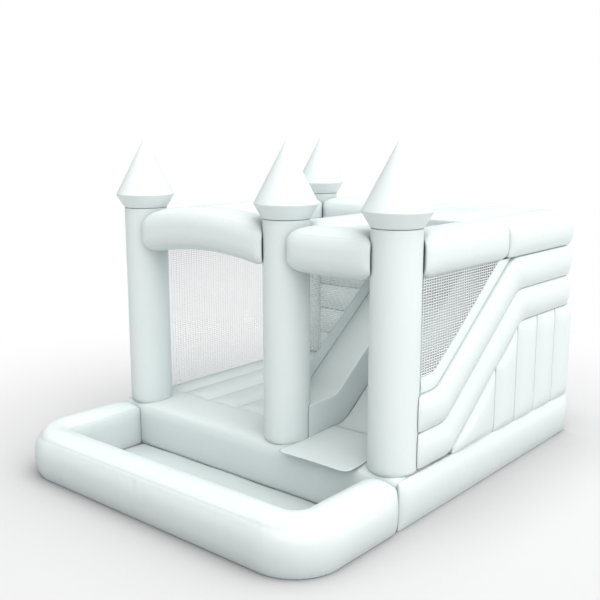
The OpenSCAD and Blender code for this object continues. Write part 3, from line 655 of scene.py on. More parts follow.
def rail(x, k, name, y_end, level, bows):
    """The bent tube number k, counted from below, that starts at a post."""
    q0 = k * RAIL_H + GAP / 2
    tall = RAIL_H - GAP
    corners = oblong(x, (0, tall))
    soft = (EDGE,) * 4
    _, gap, free, count = outline(corners, bows, soft)
    start = beside(name, 1, 1, (), RAIL_LEAST)
    middle = rail_corners(np.array([q0 + tall / 2]), axis[name][1] + RAIL_START, y_end, level)
    lengths = [float(np.linalg.norm(b - a)) for a, b in zip(middle, middle[1:])]
    parts = shares(lengths)
    s = np.concatenate([sum(lengths[:j]) + t * lengths[j] for j, t in enumerate(parts)])
    rings = []
    for i, d in enumerate(np.minimum(s, s[-1] - s)):
        rear = s[i] > s[-1] / 2
        full = REAR_FULL if rear and level else END_FULL
        r = shaped(corners, bows, soft, d, PINCH if rear else RAIL_PINCH, full)
        path = along_path(rail_corners(q0 + r[:, 1], start(r), y_end, level), parts)
        rings.append(np.concatenate([r[:, :1], path[i]], 1))
    return loft(np.array(rings), gap, free, count, s, (0, RAIL_CAP))


x_right, x_divider = ((axis[p][0] - POST_R, axis[p][0] + POST_R) for p in ("front_right", "front_middle"))
y_tower = box("right_upper_rail")[1][1]
y_door = box("divider_rail")[1][1]
right_bows, divider_bows = (0, BOW, 0, 0), (0, 0, 0, BOW)
chamber("right_upper_rail", rail(x_right, 1, "front_right", y_tower, True, right_bows))
chamber("right_lower_rail", rail(x_right, 0, "front_right", y_tower, True, right_bows))
chamber("divider_rail", rail(x_divider, 0, "front_middle", y_door, False, divider_bows))
print("bends at y", round(float(Y_B1), 3), round(float(Y_B2), 3))

# %% [markdown]
# ## Upright tubes
# Under the bent tubes the walls are rows of upright tubes, cut off along the slope. Each is an outline
# in plan that rises to its own height, and it draws in at its top and foot like every other chamber.

# %% Uprights
UPRIGHT_PINCH = 0.010


def upright(x, y, z0, top, bows):
    """An upright tube whose top is a function of y."""
    corners = oblong(x, y)
    _, gap, free, count = outline(corners, bows)
    heights = top(np.array(y)) - z0
    s = steps(float(heights.max()))
    rings = []
    for k in s / s[-1]:
        d = min(k, 1 - k) * float(heights.mean())
        r = shaped(corners, bows, (EDGE,) * 4, d, UPRIGHT_PINCH)
        z = z0 + (top(r[:, 1]) - z0) * k
        rings.append(np.concatenate([r, z[:, None]], 1))
    return loft(np.array(rings), gap, free, count, s)


def level_at(z):
    return lambda y: z + 0 * y


def under_slope(y):
    """Height of the uprights' tops below the lowest bent tube."""
    drop = GAP / math.cos(math.atan(SLOPE))
    return np.minimum(wall_hi[2], Z_LO - drop + (y - Y_B1) * SLOPE)


def row(node, x, seams, bows):
    """Uprights between seams, from the front to the back."""
    rear = (*bows[:2], SEAM_IN, bows[3])  # the last tube's back is free too
    tubes = [upright(x, (a + GAP / 2, b - GAP / 2), wall_lo[2], under_slope, rear if b == seams[-1] else bows)
             for a, b in zip(seams, seams[1:])]
    return chamber(node, *tubes)


# %% Rows of uprights
COLUMN_AT = 1.573  # how far behind the right post's axis the second upright starts
wall_lo, wall_hi = box("right_wall_uprights")
y_first, y_last = wall_lo[1] - GAP / 2, wall_hi[1] + GAP / 2
y_column = axis["front_right"][1] + COLUMN_AT
row("right_wall_uprights", x_right, [y_first, *np.linspace(y_column, y_last, 5)], right_bows)
row("divider_uprights", x_divider, [y_first, y_column, Y_B2], divider_bows)
lo, hi = box("tower_rear_uprights")
lefts = np.linspace(lo[0], hi[0] + GAP, 4)
chamber("tower_rear_uprights", *[upright((a, b - GAP), (lo[1], hi[1] - SEAM_IN), lo[2], level_at(hi[2]),
                                         (0, 0, BOW, 0)) for a, b in zip(lefts, lefts[1:])])
print("uprights from y", round(float(y_first), 3), "to", round(float(y_last), 3))

# %% [markdown]
# ## Rear walls
# The back of the bounce area is a stack of five level tubes that bow to the front and to the back, and
# the tower's upper back is a stack of two.

# %% Rear walls
LOWEST, TUBE_H = 0.030, 0.350  # how far the stack starts below the lowest seam, and a tube's height


def stack(node, levels, y, bows, ends=(None, None)):
    """Level tubes on top of each other, between the given heights."""
    lo, hi = box(node)
    tubes = [tube(0, lo[0], hi[0], oblong(y, (a + GAP / 2, b - GAP / 2)), bows, ends=ends)
             for a, b in zip(levels, levels[1:])]
    return chamber(node, *tubes)


lo, hi = box("rear_wall_tubes")
levels = [Z_LO - LOWEST + i * TUBE_H for i in range(5)] + [Z_BEAM]
stack("rear_wall_tubes", levels, (lo[1] + SEAM_IN, hi[1] - SEAM_IN), (0, BOW, 0, BOW),
      (beside("rear_left", 1, 0), None))
lo, hi = box("tower_rear_tubes")
stack("tower_rear_tubes", [Z_HI + i * RAIL_H for i in range(3)], (lo[1], hi[1] - SEAM_IN), (0, BOW, 0, 0))
print("rear tubes", len(levels) - 1, "and 2")

# %% [markdown]
# ## Under the slide
# A wedge of air carries the slide, a tall box carries the platform at its top, and a steeper wedge with
# three bolsters is the climbing wall on the other side.

# %% Ramp, platform and climbing wall
PLATFORM_CROWN, CLIMB_CROWN, CLIMB_TOE = 0.024, 0.015, 0.03
STEP_R, STEP_FOOT, STEP_BULGE = 0.055, 0.012, 0.012  # a bolster's size, its foot's lift and its bow
lo, hi = ramp_lo, ramp_hi
wedge = [(lo[1], lo[2]), (hi[1], lo[2]), (hi[1], hi[2] - 0.004), (lo[1], Z_LO)]
chamber("slide_ramp", tube(0, lo[0], hi[0], wedge, (0,) * 4, depth=0.0), slot="slide_vinyl")
chamber("slide_platform", block("slide_platform", 1, top=PLATFORM_CROWN), slot="slide_vinyl")
lo, hi = box("climbing_wall")
climb_a = math.atan((hi[2] - lo[2]) / (hi[0] - lo[0]))
ahead = np.array([math.cos(climb_a), math.sin(climb_a)])
away = np.array([-ahead[1], ahead[0]])
foot = np.array([lo[0], lo[2]])
wedge = [foot, (hi[0], lo[2]), (hi[0], hi[2]), foot + CLIMB_TOE * ahead]
chamber("climbing_wall", tube(1, lo[1], hi[1], wedge, (0, 0, CLIMB_CROWN, 0), depth=BASE_PINCH),
        slot="slide_vinyl")
bolsters = []
for i in (1, 2, 3):
    d = i * (hi[0] - lo[0]) / math.cos(climb_a) / 4
    section = [(-STEP_R, STEP_FOOT), (STEP_R, STEP_FOOT), (STEP_R * 0.5, STEP_R * 0.87 + 0.01),
               (-STEP_R * 0.5, STEP_R * 0.87 + 0.01)]
    ring = [foot + (d + a) * ahead + b * away for a, b in section]
    bolsters.append(tube(1, lo[1] + GAP, hi[1] - GAP, ring, (0, STEP_BULGE, 0.007, STEP_BULGE),
                         cap=(0.008, 0.008), depth=0.014))
chamber("climbing_steps", *bolsters, slot="slide_vinyl")
print("chambers", len(chambers))

# %% [markdown]
# ## Blowing it up
# The chambers' shapes are already bowed, but real coated cloth also puckers, because it is a little
# larger than the seams that hold it. So each chamber is simulated as cloth: its seams and the sides that
# lie against a neighbour are held, the rest grows by half a percent, and air pressure pushes it out. The
# move is capped, so that no chamber swells into the next one. Posts and spires are round already, so they
# are left out.

# %% Inflation
PRESSURE = 4
GROWTH = 0.005  # how much larger than its seams the cloth is
MOVE_CAP = 0.009
FRAMES, QUALITY = 20, 4


def points_of(mesh):
    co = np.zeros(len(mesh.vertices) * 3)
    mesh.vertices.foreach_get("co", co)
    return co.reshape(-1, 3)


def inflate(objects):
    """Simulates the objects as cloth, keeps their last shapes and returns the largest move."""
    scene = bpy.context.scene
    for o in objects:
        cloth = o.modifiers.new("air", "CLOTH")
        cloth.settings.vertex_group_mass = "held"
        cloth.settings.use_pressure = True
        cloth.settings.uniform_pressure_force = PRESSURE
        cloth.settings.shrink_min = -GROWTH
        cloth.settings.effector_weights.gravity = 0
        cloth.settings.quality = QUALITY
        cloth.collision_settings.use_collision = False
        cloth.point_cache.frame_start, cloth.point_cache.frame_end = 1, FRAMES
    for i in range(1, FRAMES + 1):
        scene.frame_set(i)
    graph = bpy.context.evaluated_depsgraph_get()
    largest = 0
    for o in objects:
        before = points_of(o.data)
        move = points_of(o.evaluated_get(graph).data) - before
        size = np.linalg.norm(move, axis=1)[:, None]
        largest = max(largest, float(size.max()))
        move *= np.minimum(1, MOVE_CAP / np.maximum(size, TINY))
        o.modifiers.clear()
        o.data.vertices.foreach_set("co", (before + move).ravel())
        o.data.update()
    scene.frame_set(1)
    return largest


began = time.time()
blown = [o for o in chambers if o["finish"] != "spire_vinyl" and not o.name.endswith("_post_skin")]
print("largest free move", round(inflate(blown), 4), "m in", round(time.time() - began, 1), "s")
for o in chambers:
    smooth = o.modifiers.new("smooth", "SUBSURF")
    smooth.levels = smooth.render_levels = 1

# %% [markdown]
# ## Thin sheets
# The slide's bed, its lip and the pool's floor are single sheets. Each is a grid of points that is given a
# thickness at the end. The bed and the lip follow one smooth line, so there is no fold where the slide
# runs out. Every sheet carries the distance to its own edge, where its hem is stitched.

# %% Sheets
def line_length(points):
    return float(np.linalg.norm(np.diff(np.asarray(points), axis=0), axis=1).sum())


def travelled(points):
    """How far each point lies along its line."""
    return np.concatenate([[0], np.cumsum(np.linalg.norm(np.diff(points, axis=0), axis=1))])


def thicken(o, thick):
    solid = o.modifiers.new("thickness", "SOLIDIFY")
    solid.thickness, solid.offset = thick, 0


def grid(points, thick, name, slot, node, closed=False, hemmed=True):
    """A sheet over (N, M, 3) points. closed joins its last column to its first. hemmed is its last row."""
    n, m = points.shape[:2]
    f = [(i * m + j, i * m + (j + 1) % m, (i + 1) * m + (j + 1) % m, (i + 1) * m + j)
         for i in range(n - 1) for j in range(m if closed else m - 1)]
    rows, cols = travelled(points[:, m // 2]), travelled(points[n // 2])
    ends = np.minimum(rows, rows[-1] - rows if hemmed else math.inf)[:, None]
    sides = np.minimum(cols, cols[-1] - cols)[None]
    seam = np.broadcast_to(ends, (n, m)) if closed else np.minimum(ends, sides)
    beside_end = np.broadcast_to(True, (n, m)) if closed else ends < sides
    along = np.where(beside_end, cols[None], rows[:, None])
    skin = dict(v=points.reshape(-1, 3), f=f, seam=seam.ravel(), along=along.ravel())
    o = make(name, skin, slot, nodes=(node,) if node else ())
    thicken(o, thick)
    return o


def quarter_rows(y0, y1, r, n):
    """Rows of a sheet whose first corners are round: they crowd together over the first r."""
    first = y0 + r * (1 - np.cos(np.linspace(0, math.pi / 2, 9)))
    return np.concatenate([first, np.linspace(y0 + r, y1, n)[1:]])


# %% Slide bed
SHEET_T = 0.005
RUN_OUT = 0.15  # length of the curve at the slide's foot, on either side of its corner
BED_UP, ON_RAMP = 0.028, 0.012  # how far the bed lies above the lip's base and above the ramp
HEM_IN = 0.02
lip_lo, lip_hi = box("slide_lip")
cover_hi = box("slide_cover")[1]
BED_Z = Z_LO + BED_UP
x_bed = np.concatenate([[lip_lo[0]], np.linspace(lip_lo[0] + HEM_IN, lip_hi[0] - HEM_IN, 17), [lip_hi[0]]])
uphill = np.array([1, SLOPE]) / math.hypot(1, SLOPE)
corner = np.array([Y_B1 + (BED_Z - Z_LO - ON_RAMP) / SLOPE, BED_Z])
g = np.linspace(0, 1, 15)[:, None]
curve = (1 - g) ** 2 * (corner - [RUN_OUT, 0]) + 2 * g * (1 - g) * corner + g**2 * (corner + RUN_OUT * uphill)
lead = np.array([corner - [RUN_OUT + 0.05, 0.0005]])
top = np.array([cover_hi[1], Z_LO + (cover_hi[1] - Y_B1) * SLOPE + ON_RAMP])
straight = [curve[-1] + (top - curve[-1]) * k for k in np.linspace(0, 1, 34)[1:]]
bed = np.concatenate([lead, curve, straight, [top + [0.02, 0.009], top + [0.05, 0.013]]])
across = np.broadcast_to(x_bed, (len(bed), len(x_bed)))
points = np.stack([across, *(np.repeat(bed[:, k : k + 1], len(x_bed), 1) for k in (0, 1))], -1)
cover = grid(points, SHEET_T, "slide_cover_sheet", "slide_vinyl", "slide_cover")
print("bed", round(line_length(bed), 3), "m long")

# %% Slide lip
LIP_R, LIP_FLARE, LIP_FLAT = 0.09, 0.05, 0.12  # corner radius, widening and level part at its end
y0, y1 = lip_lo[1], corner[0] - RUN_OUT - 0.01
z_tip, z_root = lip_hi[2] - 0.004, BED_Z + SHEET_T + 0.001
points = []
for y in quarter_rows(y0, y1, LIP_R, 20):
    r = max(0, y0 + LIP_R - y)
    inset = LIP_R - math.sqrt(max(LIP_R**2 - r**2, 0))
    k = np.clip((y - y0 - LIP_FLAT) / (y1 - y0 - LIP_FLAT), 0, 1)
    z = z_tip + (z_root - z_tip) * k**2 * (3 - 2 * k)
    left = lip_lo[0] - LIP_FLARE * (1 - k) ** 2
    x = left + inset + (x_bed - x_bed[0]) / np.ptp(x_bed) * (lip_hi[0] - left - 2 * inset)
    points.append(np.stack([x, np.full(len(x), y), z + 0.002 * np.sin(9 * x + 5 * y)], 1))
lip = grid(np.array(points), SHEET_T, "slide_lip_sheet", "slide_vinyl", "slide_lip", hemmed=False)
print("lip", round(float(y1 - y0), 3), "m long")

# %% Pool floor
POOL_FLOOR_R, POOL_FLOOR_T, POOL_FLOOR_Z = 0.127, 0.002, 0.006  # inner corner, thickness, height
lo, hi = box("pool_floor_sheet")
points = []
for y in quarter_rows(lo[1], hi[1], POOL_FLOOR_R, 26):
    r = max(0, lo[1] + POOL_FLOOR_R - y)
    w = hi[0] - POOL_FLOOR_R + math.sqrt(max(POOL_FLOOR_R**2 - r**2, 0))
    x = w * np.linspace(-1, 1, 73)
    wave = 0.0015 * (np.sin(7 * x + 2 * y) + np.sin(13 * y - 3 * x) + np.sin(5 * x * y + 1))
    points.append(np.stack([x, np.full(len(x), y), POOL_FLOOR_Z + wave], 1))
pool_floor = grid(np.array(points), POOL_FLOOR_T, "pool_floor_cloth", "pool_floor_vinyl", "pool_floor_sheet")
print("pool floor", round(float(hi[0] - lo[0]), 2), "m wide")

# %% [markdown]
# ## Nets
# The nets are flat woven tapes that pass over and under each other. Each tape is a thin lens-shaped
# strand, so that the light catches its edges. A strand runs from edge to edge of its net, and the net
# billows outwards a little in the middle. Cloth borders close two of the nets beside the slide.

# %% Nets
MESH_Y, MESH_Z = 0.043, 0.026  # spacing of the upright and the level tapes
TAPES = {"right": (0.013, 0.012), "divider": (0.0075, 0.0070), "left": (0.0075, 0.0068)}  # widths
TAPE_T = 0.003
OVER = 0.0011  # how far a tape lies out of the net's middle where it passes another
BILLOW = 0.012


def strand(points, width, across):
    """A tape with a lens-shaped section, along points. across is the direction of its width."""
    thick = np.array([TAPE_T / 2, 0, 0])
    half = np.array([across * width / 2, thick, -across * width / 2, -thick])
    v = (points[:, None] + half[None]).reshape(-1, 3)
    n = len(points)
    f = [(4 * i + j, 4 * i + (j + 1) % 4, 4 * i + 4 + (j + 1) % 4, 4 * i + 4 + j)
         for i in range(n - 1) for j in range(4)]
    f += [(3, 2, 1, 0), (4 * n - 4, 4 * n - 3, 4 * n - 2, 4 * n - 1)]
    along = np.repeat(np.arange(n) * 0.02, 4)
    return dict(v=v, f=f, seam=np.tile([0, 0.01, 0, 0.01], n), along=along, swell=np.zeros(4 * n))


def net(side, x, y, z1, floor, out):
    """A net at x, from y[0] to y[1] and from floor(y) up to z1. out is the way that it billows."""
    upright_w, level_w = TAPES[side]
    z0 = float(floor(np.array(y[0])))
    wide, tall = y[1] - y[0], z1 - z0
    ys = np.arange(y[0] + MESH_Y / 2, y[1] - 0.005, MESH_Y)
    zs = np.arange(z0 + MESH_Z / 2, z1 - 0.003, MESH_Z)
    dense = np.linspace(y[0], y[1], 400)
    low = floor(dense)

    def tape(a, b, over, width, across):
        bulge = BILLOW * np.sin(math.pi * (a - y[0]) / wide) * np.sin(math.pi * (b - z0) / tall)
        a, b = np.broadcast_arrays(a, b)
        return strand(np.stack([x + out * bulge + over, a, b], 1), width, np.array(across))

    skins = []
    for i, a in enumerate(ys):
        foot = float(floor(np.array(a)))
        b = np.concatenate([[foot], zs[zs > foot + 0.004], [z1]])
        skins.append(tape(a, b, OVER * (-1) ** (np.searchsorted(zs, b) + i), upright_w, [0, 1, 0]))
    for k, b in enumerate(zs):
        reach = dense[low <= b].max()
        a = np.concatenate([[y[0]], ys[ys < reach - 0.004], [reach]])
        skins.append(tape(a, b, -OVER * (-1) ** (np.searchsorted(ys, a) + k), level_w, [0, 0, 1]))
    o = make(side + "_net_mesh", merge(skins), "net_mesh", nodes=(side + "_net",))


# %% Nets beside the slide
BORDER_T, BORDER_BULGE = 0.003, 0.006
TOP_TUCK = 0.002  # how far a net goes up into its beam


def seam_line(q):
    """Height of the line q above the slide's lower seam, as a function of y."""
    (y_b, z_b), _ = bends(q)
    return lambda y: z_b + np.maximum(0, y - y_b) * SLOPE


def border(side, q, x, out, wide):
    """The cloth band between a net and the bent tube whose top seam is the line q."""
    lo, hi = box(side + "_net_border")
    middle = np.linspace(q + GAP + 0.015, q + wide - 0.012, 6)
    qs = np.concatenate([[q + GAP - 0.004], middle, [q + wide + 0.006]])
    b1, b2 = bends(qs)
    z_cut = np.minimum(b2[1], hi[2]) if side == "right" else b2[1]
    y_cut = b1[0] + (z_cut - b1[1]) / SLOPE
    corners = [np.stack([lo[1] + 0 * qs, Z_LO + qs], 1), np.stack(b1, 1), np.stack([y_cut, z_cut], 1)]
    lengths = [float(np.linalg.norm(b[3] - a[3])) for a, b in zip(corners, corners[1:])]
    path = along_path(corners, shares(lengths))
    bulge = BORDER_BULGE * np.sin(np.linspace(0, math.pi, len(qs)))
    points = np.stack([x + out * np.broadcast_to(bulge, path.shape[:2]), path[..., 0], path[..., 1]], -1)
    cloth = grid(points, BORDER_T, side + "_net_border_cloth", "net_border", side + "_net_border")


for side, q, out in (("right", 2 * RAIL_H, 1), ("divider", RAIL_H, -1)):
    lo, hi = box(side + "_net")
    x = (lo[0] + hi[0]) / 2
    net(side, x, (float(lo[1]), float(hi[1])), float(hi[2]) + TOP_TUCK, seam_line(lo[2] - Z_LO), out)
    border(side, q, x, out, lo[2] - box(side + "_net_border")[0][2])

# %% Left net
FOOT_TUCK = 0.03  # how far the left net goes down into the floor's edge
lo, hi = box("left_net")
net("left", float(lo[0] + hi[0]) / 2, (float(lo[1]), float(hi[1])), float(hi[2]) + TOP_TUCK,
    level_at(lo[2] - FOOT_TUCK), -1)

# %% [markdown]
# ## Baffles
# Inside the chambers, panels of plain cloth tie the top to the bottom and let the air pass through round
# holes. Each panel is a row of cells, and each cell is a sheet between a square and a circle.

# %% Baffles
HOLE_D, HOLE_PITCH = 0.150, 0.800
AROUND = 32  # points round a hole
OUTWARDS = (0, 0.15, 0.5, 1)  # where the rings of points lie between a hole and its cell's edge
BAFFLE_T = 0.0015


def holed(run, at, a, b, z0, z1):
    """A panel along axis run from a to b, at `at` on the other level axis."""
    n, tall = max(1, int((b - a) / HOLE_PITCH)), z1 - z0
    r = min(HOLE_D, 0.6 * tall) / 2
    w = (b - a) / n
    v, f, seam = [], [], []
    t = np.linspace(-1, 1, AROUND // 4 + 1)[:-1]
    one = np.ones(len(t))
    square = np.concatenate([np.stack(side, 1) for side in ((t, -one), (one, t), (-t, one), (-one, -t))])
    for i in range(n):
        outer = square * [w / 2, tall / 2]
        circle = outer / np.linalg.norm(outer, axis=1)[:, None] * r
        for k in OUTWARDS:
            p = circle + (outer - circle) * k
            base = sum(len(q) for q in v)
            place = np.zeros((AROUND, 3))
            place[:, run], place[:, 2] = a + (i + 0.5) * w + p[:, 0], z0 + tall / 2 + p[:, 1]
            place[:, 1 - run] = at + 0.002 * np.sin(8 * p[:, 0]) * np.cos(9 * p[:, 1])
            v.append(place)
            seam.append(np.minimum(tall / 2 - np.abs(p[:, 1]), np.linalg.norm(p - circle, axis=1) + 0.004))
            if k:
                last = base - AROUND
                f += [(last + j, last + (j + 1) % AROUND, base + (j + 1) % AROUND, base + j)
                      for j in range(AROUND)]
    v = np.concatenate(v)
    return dict(v=v, f=f, seam=np.concatenate(seam), along=np.zeros(len(v)), swell=np.zeros(len(v)))


def baffles(node, run, places, tops=None):
    """Panels at some places, each from the node's foot to its own top."""
    lo, hi = box(node)
    tops = tops or [hi[2]] * len(places)
    panels = [holed(run, at, lo[run], hi[run], lo[2], z) for at, z in zip(places, tops)]
    o = make(node + "_cloth", merge(panels), "baffle_cloth", nodes=(node,))
    thicken(o, BAFFLE_T)


def middles(node, k, n):
    """The places of n panels in a node's box along axis k."""
    lo, hi = box(node)
    return np.linspace(lo[k] + BAFFLE_T, hi[k] - BAFFLE_T, n) if n > 1 else [(lo[k] + hi[k]) / 2]


baffles("floor_baffles", 1, floor_seams[1:5])
baffles("slide_base_baffles", 1, middles("slide_base_baffles", 0, 3))
baffles("threshold_baffle", 0, middles("threshold_baffle", 1, 1))
y_ramp, z_ramp = middles("ramp_baffles", 1, 2), box("ramp_baffles")[1][2]
baffles("ramp_baffles", 0, y_ramp, [z_ramp - (y_ramp[1] - y_ramp[0]) * SLOPE, z_ramp])
baffles("platform_baffles", 1, middles("platform_baffles", 0, 2))
baffles("roof_baffle", 0, middles("roof_baffle", 1, 1))
print("panels under the floor", len(floor_seams[1:5]))

# %% [markdown]
# ## Air inlet
# The blower's tube is a cloth sleeve on the back of the base, sewn on with a round flange and tied with a
# strap. It hangs loose until the blower fills it, so its wall is gathered into shallow folds that are
# deepest near the strap.

# %% Inlet
SLEEVE_T, FLANGE_T, STRAP_T = 0.0015, 0.002, 0.0022
GATHER, GATHER_REACH = 0.0035, 0.07  # how much the strap draws the sleeve in, and how far along it
STRAP_OUT, STRAP_LAP, LAP_FROM = 0.0045, 0.0028, 0.9  # room under the strap and under its overlap
BUCKLE_W, BUCKLE_MORE, BUCKLE_H = 0.032, 0.003, 0.008
lo, hi = box("inlet_sleeve")
cx, cz, r_sleeve = (lo[0] + hi[0]) / 2, (lo[2] + hi[2]) / 2, (hi[0] - lo[0]) / 2 - SLEEVE_T
strap_lo, strap_hi = box("inlet_strap")
y_strap = (strap_lo[1] + strap_hi[1]) / 2
a = np.linspace(0, 2 * math.pi, 97)[:-1]
points = []
for y in np.linspace(lo[1], hi[1], 46):
    near = math.exp(-(((y - y_strap) / GATHER_REACH) ** 2))
    deep = 0.0010 + 0.0022 * near + 0.0012 * math.exp(-(y - lo[1]) / 0.05)
    folds = deep * np.sin(11 * a + 3 * np.sin(2 * a + 6 * y)) * np.sin(4 * a + 1.3)
    r = r_sleeve - GATHER * near + folds + 0.0008 * np.sin(5 * a - 14 * y)
    points.append(np.stack([cx + r * np.cos(a), np.full(len(a), y), cz + r * np.sin(a)], 1))
sleeve = grid(np.array(points), SLEEVE_T, "inlet_sleeve_cloth", "sleeve_cloth", "inlet_sleeve", closed=True)

# %% Flange and strap
lo, hi = box("inlet_flange")
r_in, r_out = r_sleeve + 0.002, (hi[0] - lo[0]) / 2
points = []
for r in (r_in, r_in + 0.004, r_in + 0.018, r_in + 0.033, r_out - 0.006, r_out - 0.001):
    y = lo[1] + 0.0016 + 0.0006 * np.sin(17 * a) * (r > r_in + 0.008)
    points.append(np.stack([cx + r * np.cos(a), y, cz + r * np.sin(a)], 1))
flange = grid(np.array(points), FLANGE_T, "inlet_flange_cloth", "sleeve_cloth", "inlet_flange", closed=True)
b = np.linspace(0, 2 * math.pi, 73)
r = r_sleeve + STRAP_OUT + STRAP_LAP * (b / (2 * math.pi) > LAP_FROM)
points = [np.stack([cx + r * np.sin(b), np.full(len(b), y), cz - r * np.cos(b)], 1)
          for y in np.linspace(strap_lo[1] + 0.001, strap_hi[1] - 0.001, 7)]
strap = grid(np.array(points), STRAP_T, "inlet_strap_webbing", "webbing", "inlet_strap")


def rounded_bar(name, lo, hi, slot, bevel):
    """A small moulded block with rounded edges."""
    v = [(x, y, z) for y in (lo[1], hi[1]) for z in (lo[2], hi[2]) for x in (lo[0], hi[0])]
    f = [(0, 1, 3, 2), (4, 6, 7, 5), (0, 4, 5, 1), (1, 5, 7, 3), (3, 7, 6, 2), (2, 6, 4, 0)]
    o = make(name, outward(dict(v=np.array(v, float), f=f)), slot)
    edge = o.modifiers.new("edge", "BEVEL")
    edge.width, edge.segments = bevel, 2


rounded_bar("inlet_strap_buckle", (cx - BUCKLE_W / 2, strap_lo[1] - BUCKLE_MORE, strap_lo[2]),
            (cx + BUCKLE_W / 2, strap_hi[1] + BUCKLE_MORE, strap_lo[2] + BUCKLE_H), "zip_plastic", 0.0015)
print("sleeve", round(float(2 * r_sleeve), 3), "m wide")

# %% [markdown]
# ## Anchors and zip
# Two webbing patches at the back carry a steel ring each, for the ground stakes. A zip lets the air out
# when the house is packed: two rows of teeth on a tape, with a slider that runs along them. The rings, the
# slider and its pull are the CAD parts themselves, because their shape is already right.

# %% Anchors
PATCH_T, LOOP_T, LOOP_W = 0.0024, 0.0018, 0.038
LOOP_R = 0.0062  # radius of the loop round a ring's bar
BAR_IN = 0.004  # how far the bar's middle lies below the ring's top
for side, wall in (("left", "rear_base_beam_skin"), ("right", "slide_base_skin")):
    lo, hi = box(side + "_anchor")
    (cx, _, cz), (half_x, _, half_z) = (lo + hi) / 2, (hi - lo) / 2
    t = np.linspace(0, 1, 21)
    xs = lo[0] + (hi[0] - lo[0]) * t
    points = []
    for z in lo[2] + (hi[2] - lo[2]) * t:
        dx, dz = np.abs(xs - cx) / half_x, abs(z - cz) / half_z
        pull = 1 - 0.04 * dx**4 * dz**4
        y = lo[1] + 0.0016 + 0.0008 * np.sin(60 * xs) * (dz < 0.9)
        points.append(np.stack([cx + (xs - cx) * pull, y, cz + (z - cz) * pull], 1))
    patch_cloth = grid(np.array(points), PATCH_T, side + "_anchor_patch", "webbing", side + "_anchor")
    ring_lo, ring_hi = box(side + "_anchor_ring")
    y_bar, z_bar = (ring_lo[1] + ring_hi[1]) / 2, ring_hi[2] - BAR_IN
    wrap = np.linspace(-0.25 * math.pi, 1.2 * math.pi, 16)
    profile = [(lo[1] + 0.003, z_bar + 0.030), (lo[1] + 0.004, z_bar + 0.014)]
    profile += [(y_bar + LOOP_R * math.sin(w), z_bar + LOOP_R * math.cos(w)) for w in wrap]
    profile += [(lo[1] + 0.004, z_bar - 0.016), (lo[1] + 0.003, z_bar - 0.032)]
    xs = np.linspace(cx - LOOP_W / 2, cx + LOOP_W / 2, 7)
    points = np.array([[(x, y, z) for x in xs] for y, z in profile])
    loop = grid(points, LOOP_T, side + "_anchor_loop", "webbing", None)
print("anchor loops", round(line_length(profile), 3), "m of webbing each")

# %% Zip
ZIP_T, ZIP_N = 0.002, 90
TOOTH = 0.0040  # spacing of the teeth
TOOTH_W, TOOTH_H, TOOTH_TAPER = 0.86 * TOOTH, 0.0034, 0.78
TOOTH_FACES = [(0, 1, 2, 3), (7, 6, 5, 4), (0, 4, 5, 1), (1, 5, 6, 2), (2, 6, 7, 3), (3, 7, 4, 0)]
STOP_W, STOP_H = 0.008, 0.009
lo, hi = box("deflation_zip")
zc = (lo[2] + hi[2]) / 2
xs = np.linspace(lo[0], hi[0], ZIP_N)
points = []
rows = (lo[2], lo[2] + 0.002, lo[2] + 0.010, zc - 0.006, zc, zc + 0.006, hi[2] - 0.010, hi[2] - 0.002, hi[2])
for z in rows:
    y = lo[1] + 0.0014 + 0.0005 * np.sin(40 * xs) * (abs(z - zc) > 0.012)
    points.append(np.stack([xs, y, np.full(ZIP_N, z)], 1))
tape = grid(np.array(points), ZIP_T, "deflation_zip_tape", "zip_plastic", "deflation_zip")
teeth = []
x_first, x_last = lo[0] + 0.013, hi[0] - 0.013
for i in range(int((x_last - x_first) / TOOTH)):
    x, side = x_first + i * TOOTH, 1 if i % 2 else -1
    v = []
    for y, k in ((lo[1] + 0.002, 1.0), (hi[1] - 0.0006, TOOTH_TAPER)):
        shape = ((0, -0.0012), (TOOTH_W * k, -0.0008), (TOOTH_W * k, TOOTH_H * k), (0.0003, TOOTH_H * k))
        v += [(x + dx, y, zc + side * dz) for dx, dz in shape]
    teeth.append(outward(dict(v=np.array(v), f=TOOTH_FACES, seam=np.full(8, 0.01), along=np.zeros(8),
                              swell=np.zeros(8))))
teeth_o = make("deflation_zip_teeth", merge(teeth), "zip_plastic")
for name, x in (("left", lo[0] + 0.004), ("right", hi[0] - 0.012)):
    rounded_bar("zip_stop_" + name, (x, lo[1] + 0.002, zc - STOP_H / 2),
                (x + STOP_W, hi[1] - 0.0004, zc + STOP_H / 2), "zip_metal", 0.001)
print("zip teeth", len(teeth))

# %% [markdown]
# ## Effects shared by the finishes
# Seven small node groups hold what several finishes share: the weld line along a seam, the stitches
# beside it, the puckers that gather near it, the weave that shows through the coating, the slow drift of
# tone over a big sheet, the scuffs and dust that gather low down, and the painted shade of shut-in places.
# Each puts out a mask or a height, never a shader.

# %% Node helpers
def add(tree, kind, inputs=(), **props):
    """A node with some inputs linked or set."""
    n = tree.nodes.new(kind)
    for k, v in props.items():
        setattr(n, k, v)
    for k, v in dict(inputs).items():
        s = n.inputs[k]
        if isinstance(v, bpy.types.NodeSocket):
            tree.links.new(v, s)
        else:
            s.default_value = v
    return n


def calc(tree, op, a, b=0.5, c=0.0, clamp=False):
    return add(tree, "ShaderNodeMath", {0: a, 1: b, 2: c}, operation=op, use_clamp=clamp).outputs[0]


def attribute(tree, name):
    return add(tree, "ShaderNodeAttribute", attribute_name=name).outputs["Fac"]


def places(tree):
    return add(tree, "ShaderNodeTexCoord").outputs["Object"]


def split(tree, vector):
    return add(tree, "ShaderNodeSeparateXYZ", {0: vector}).outputs


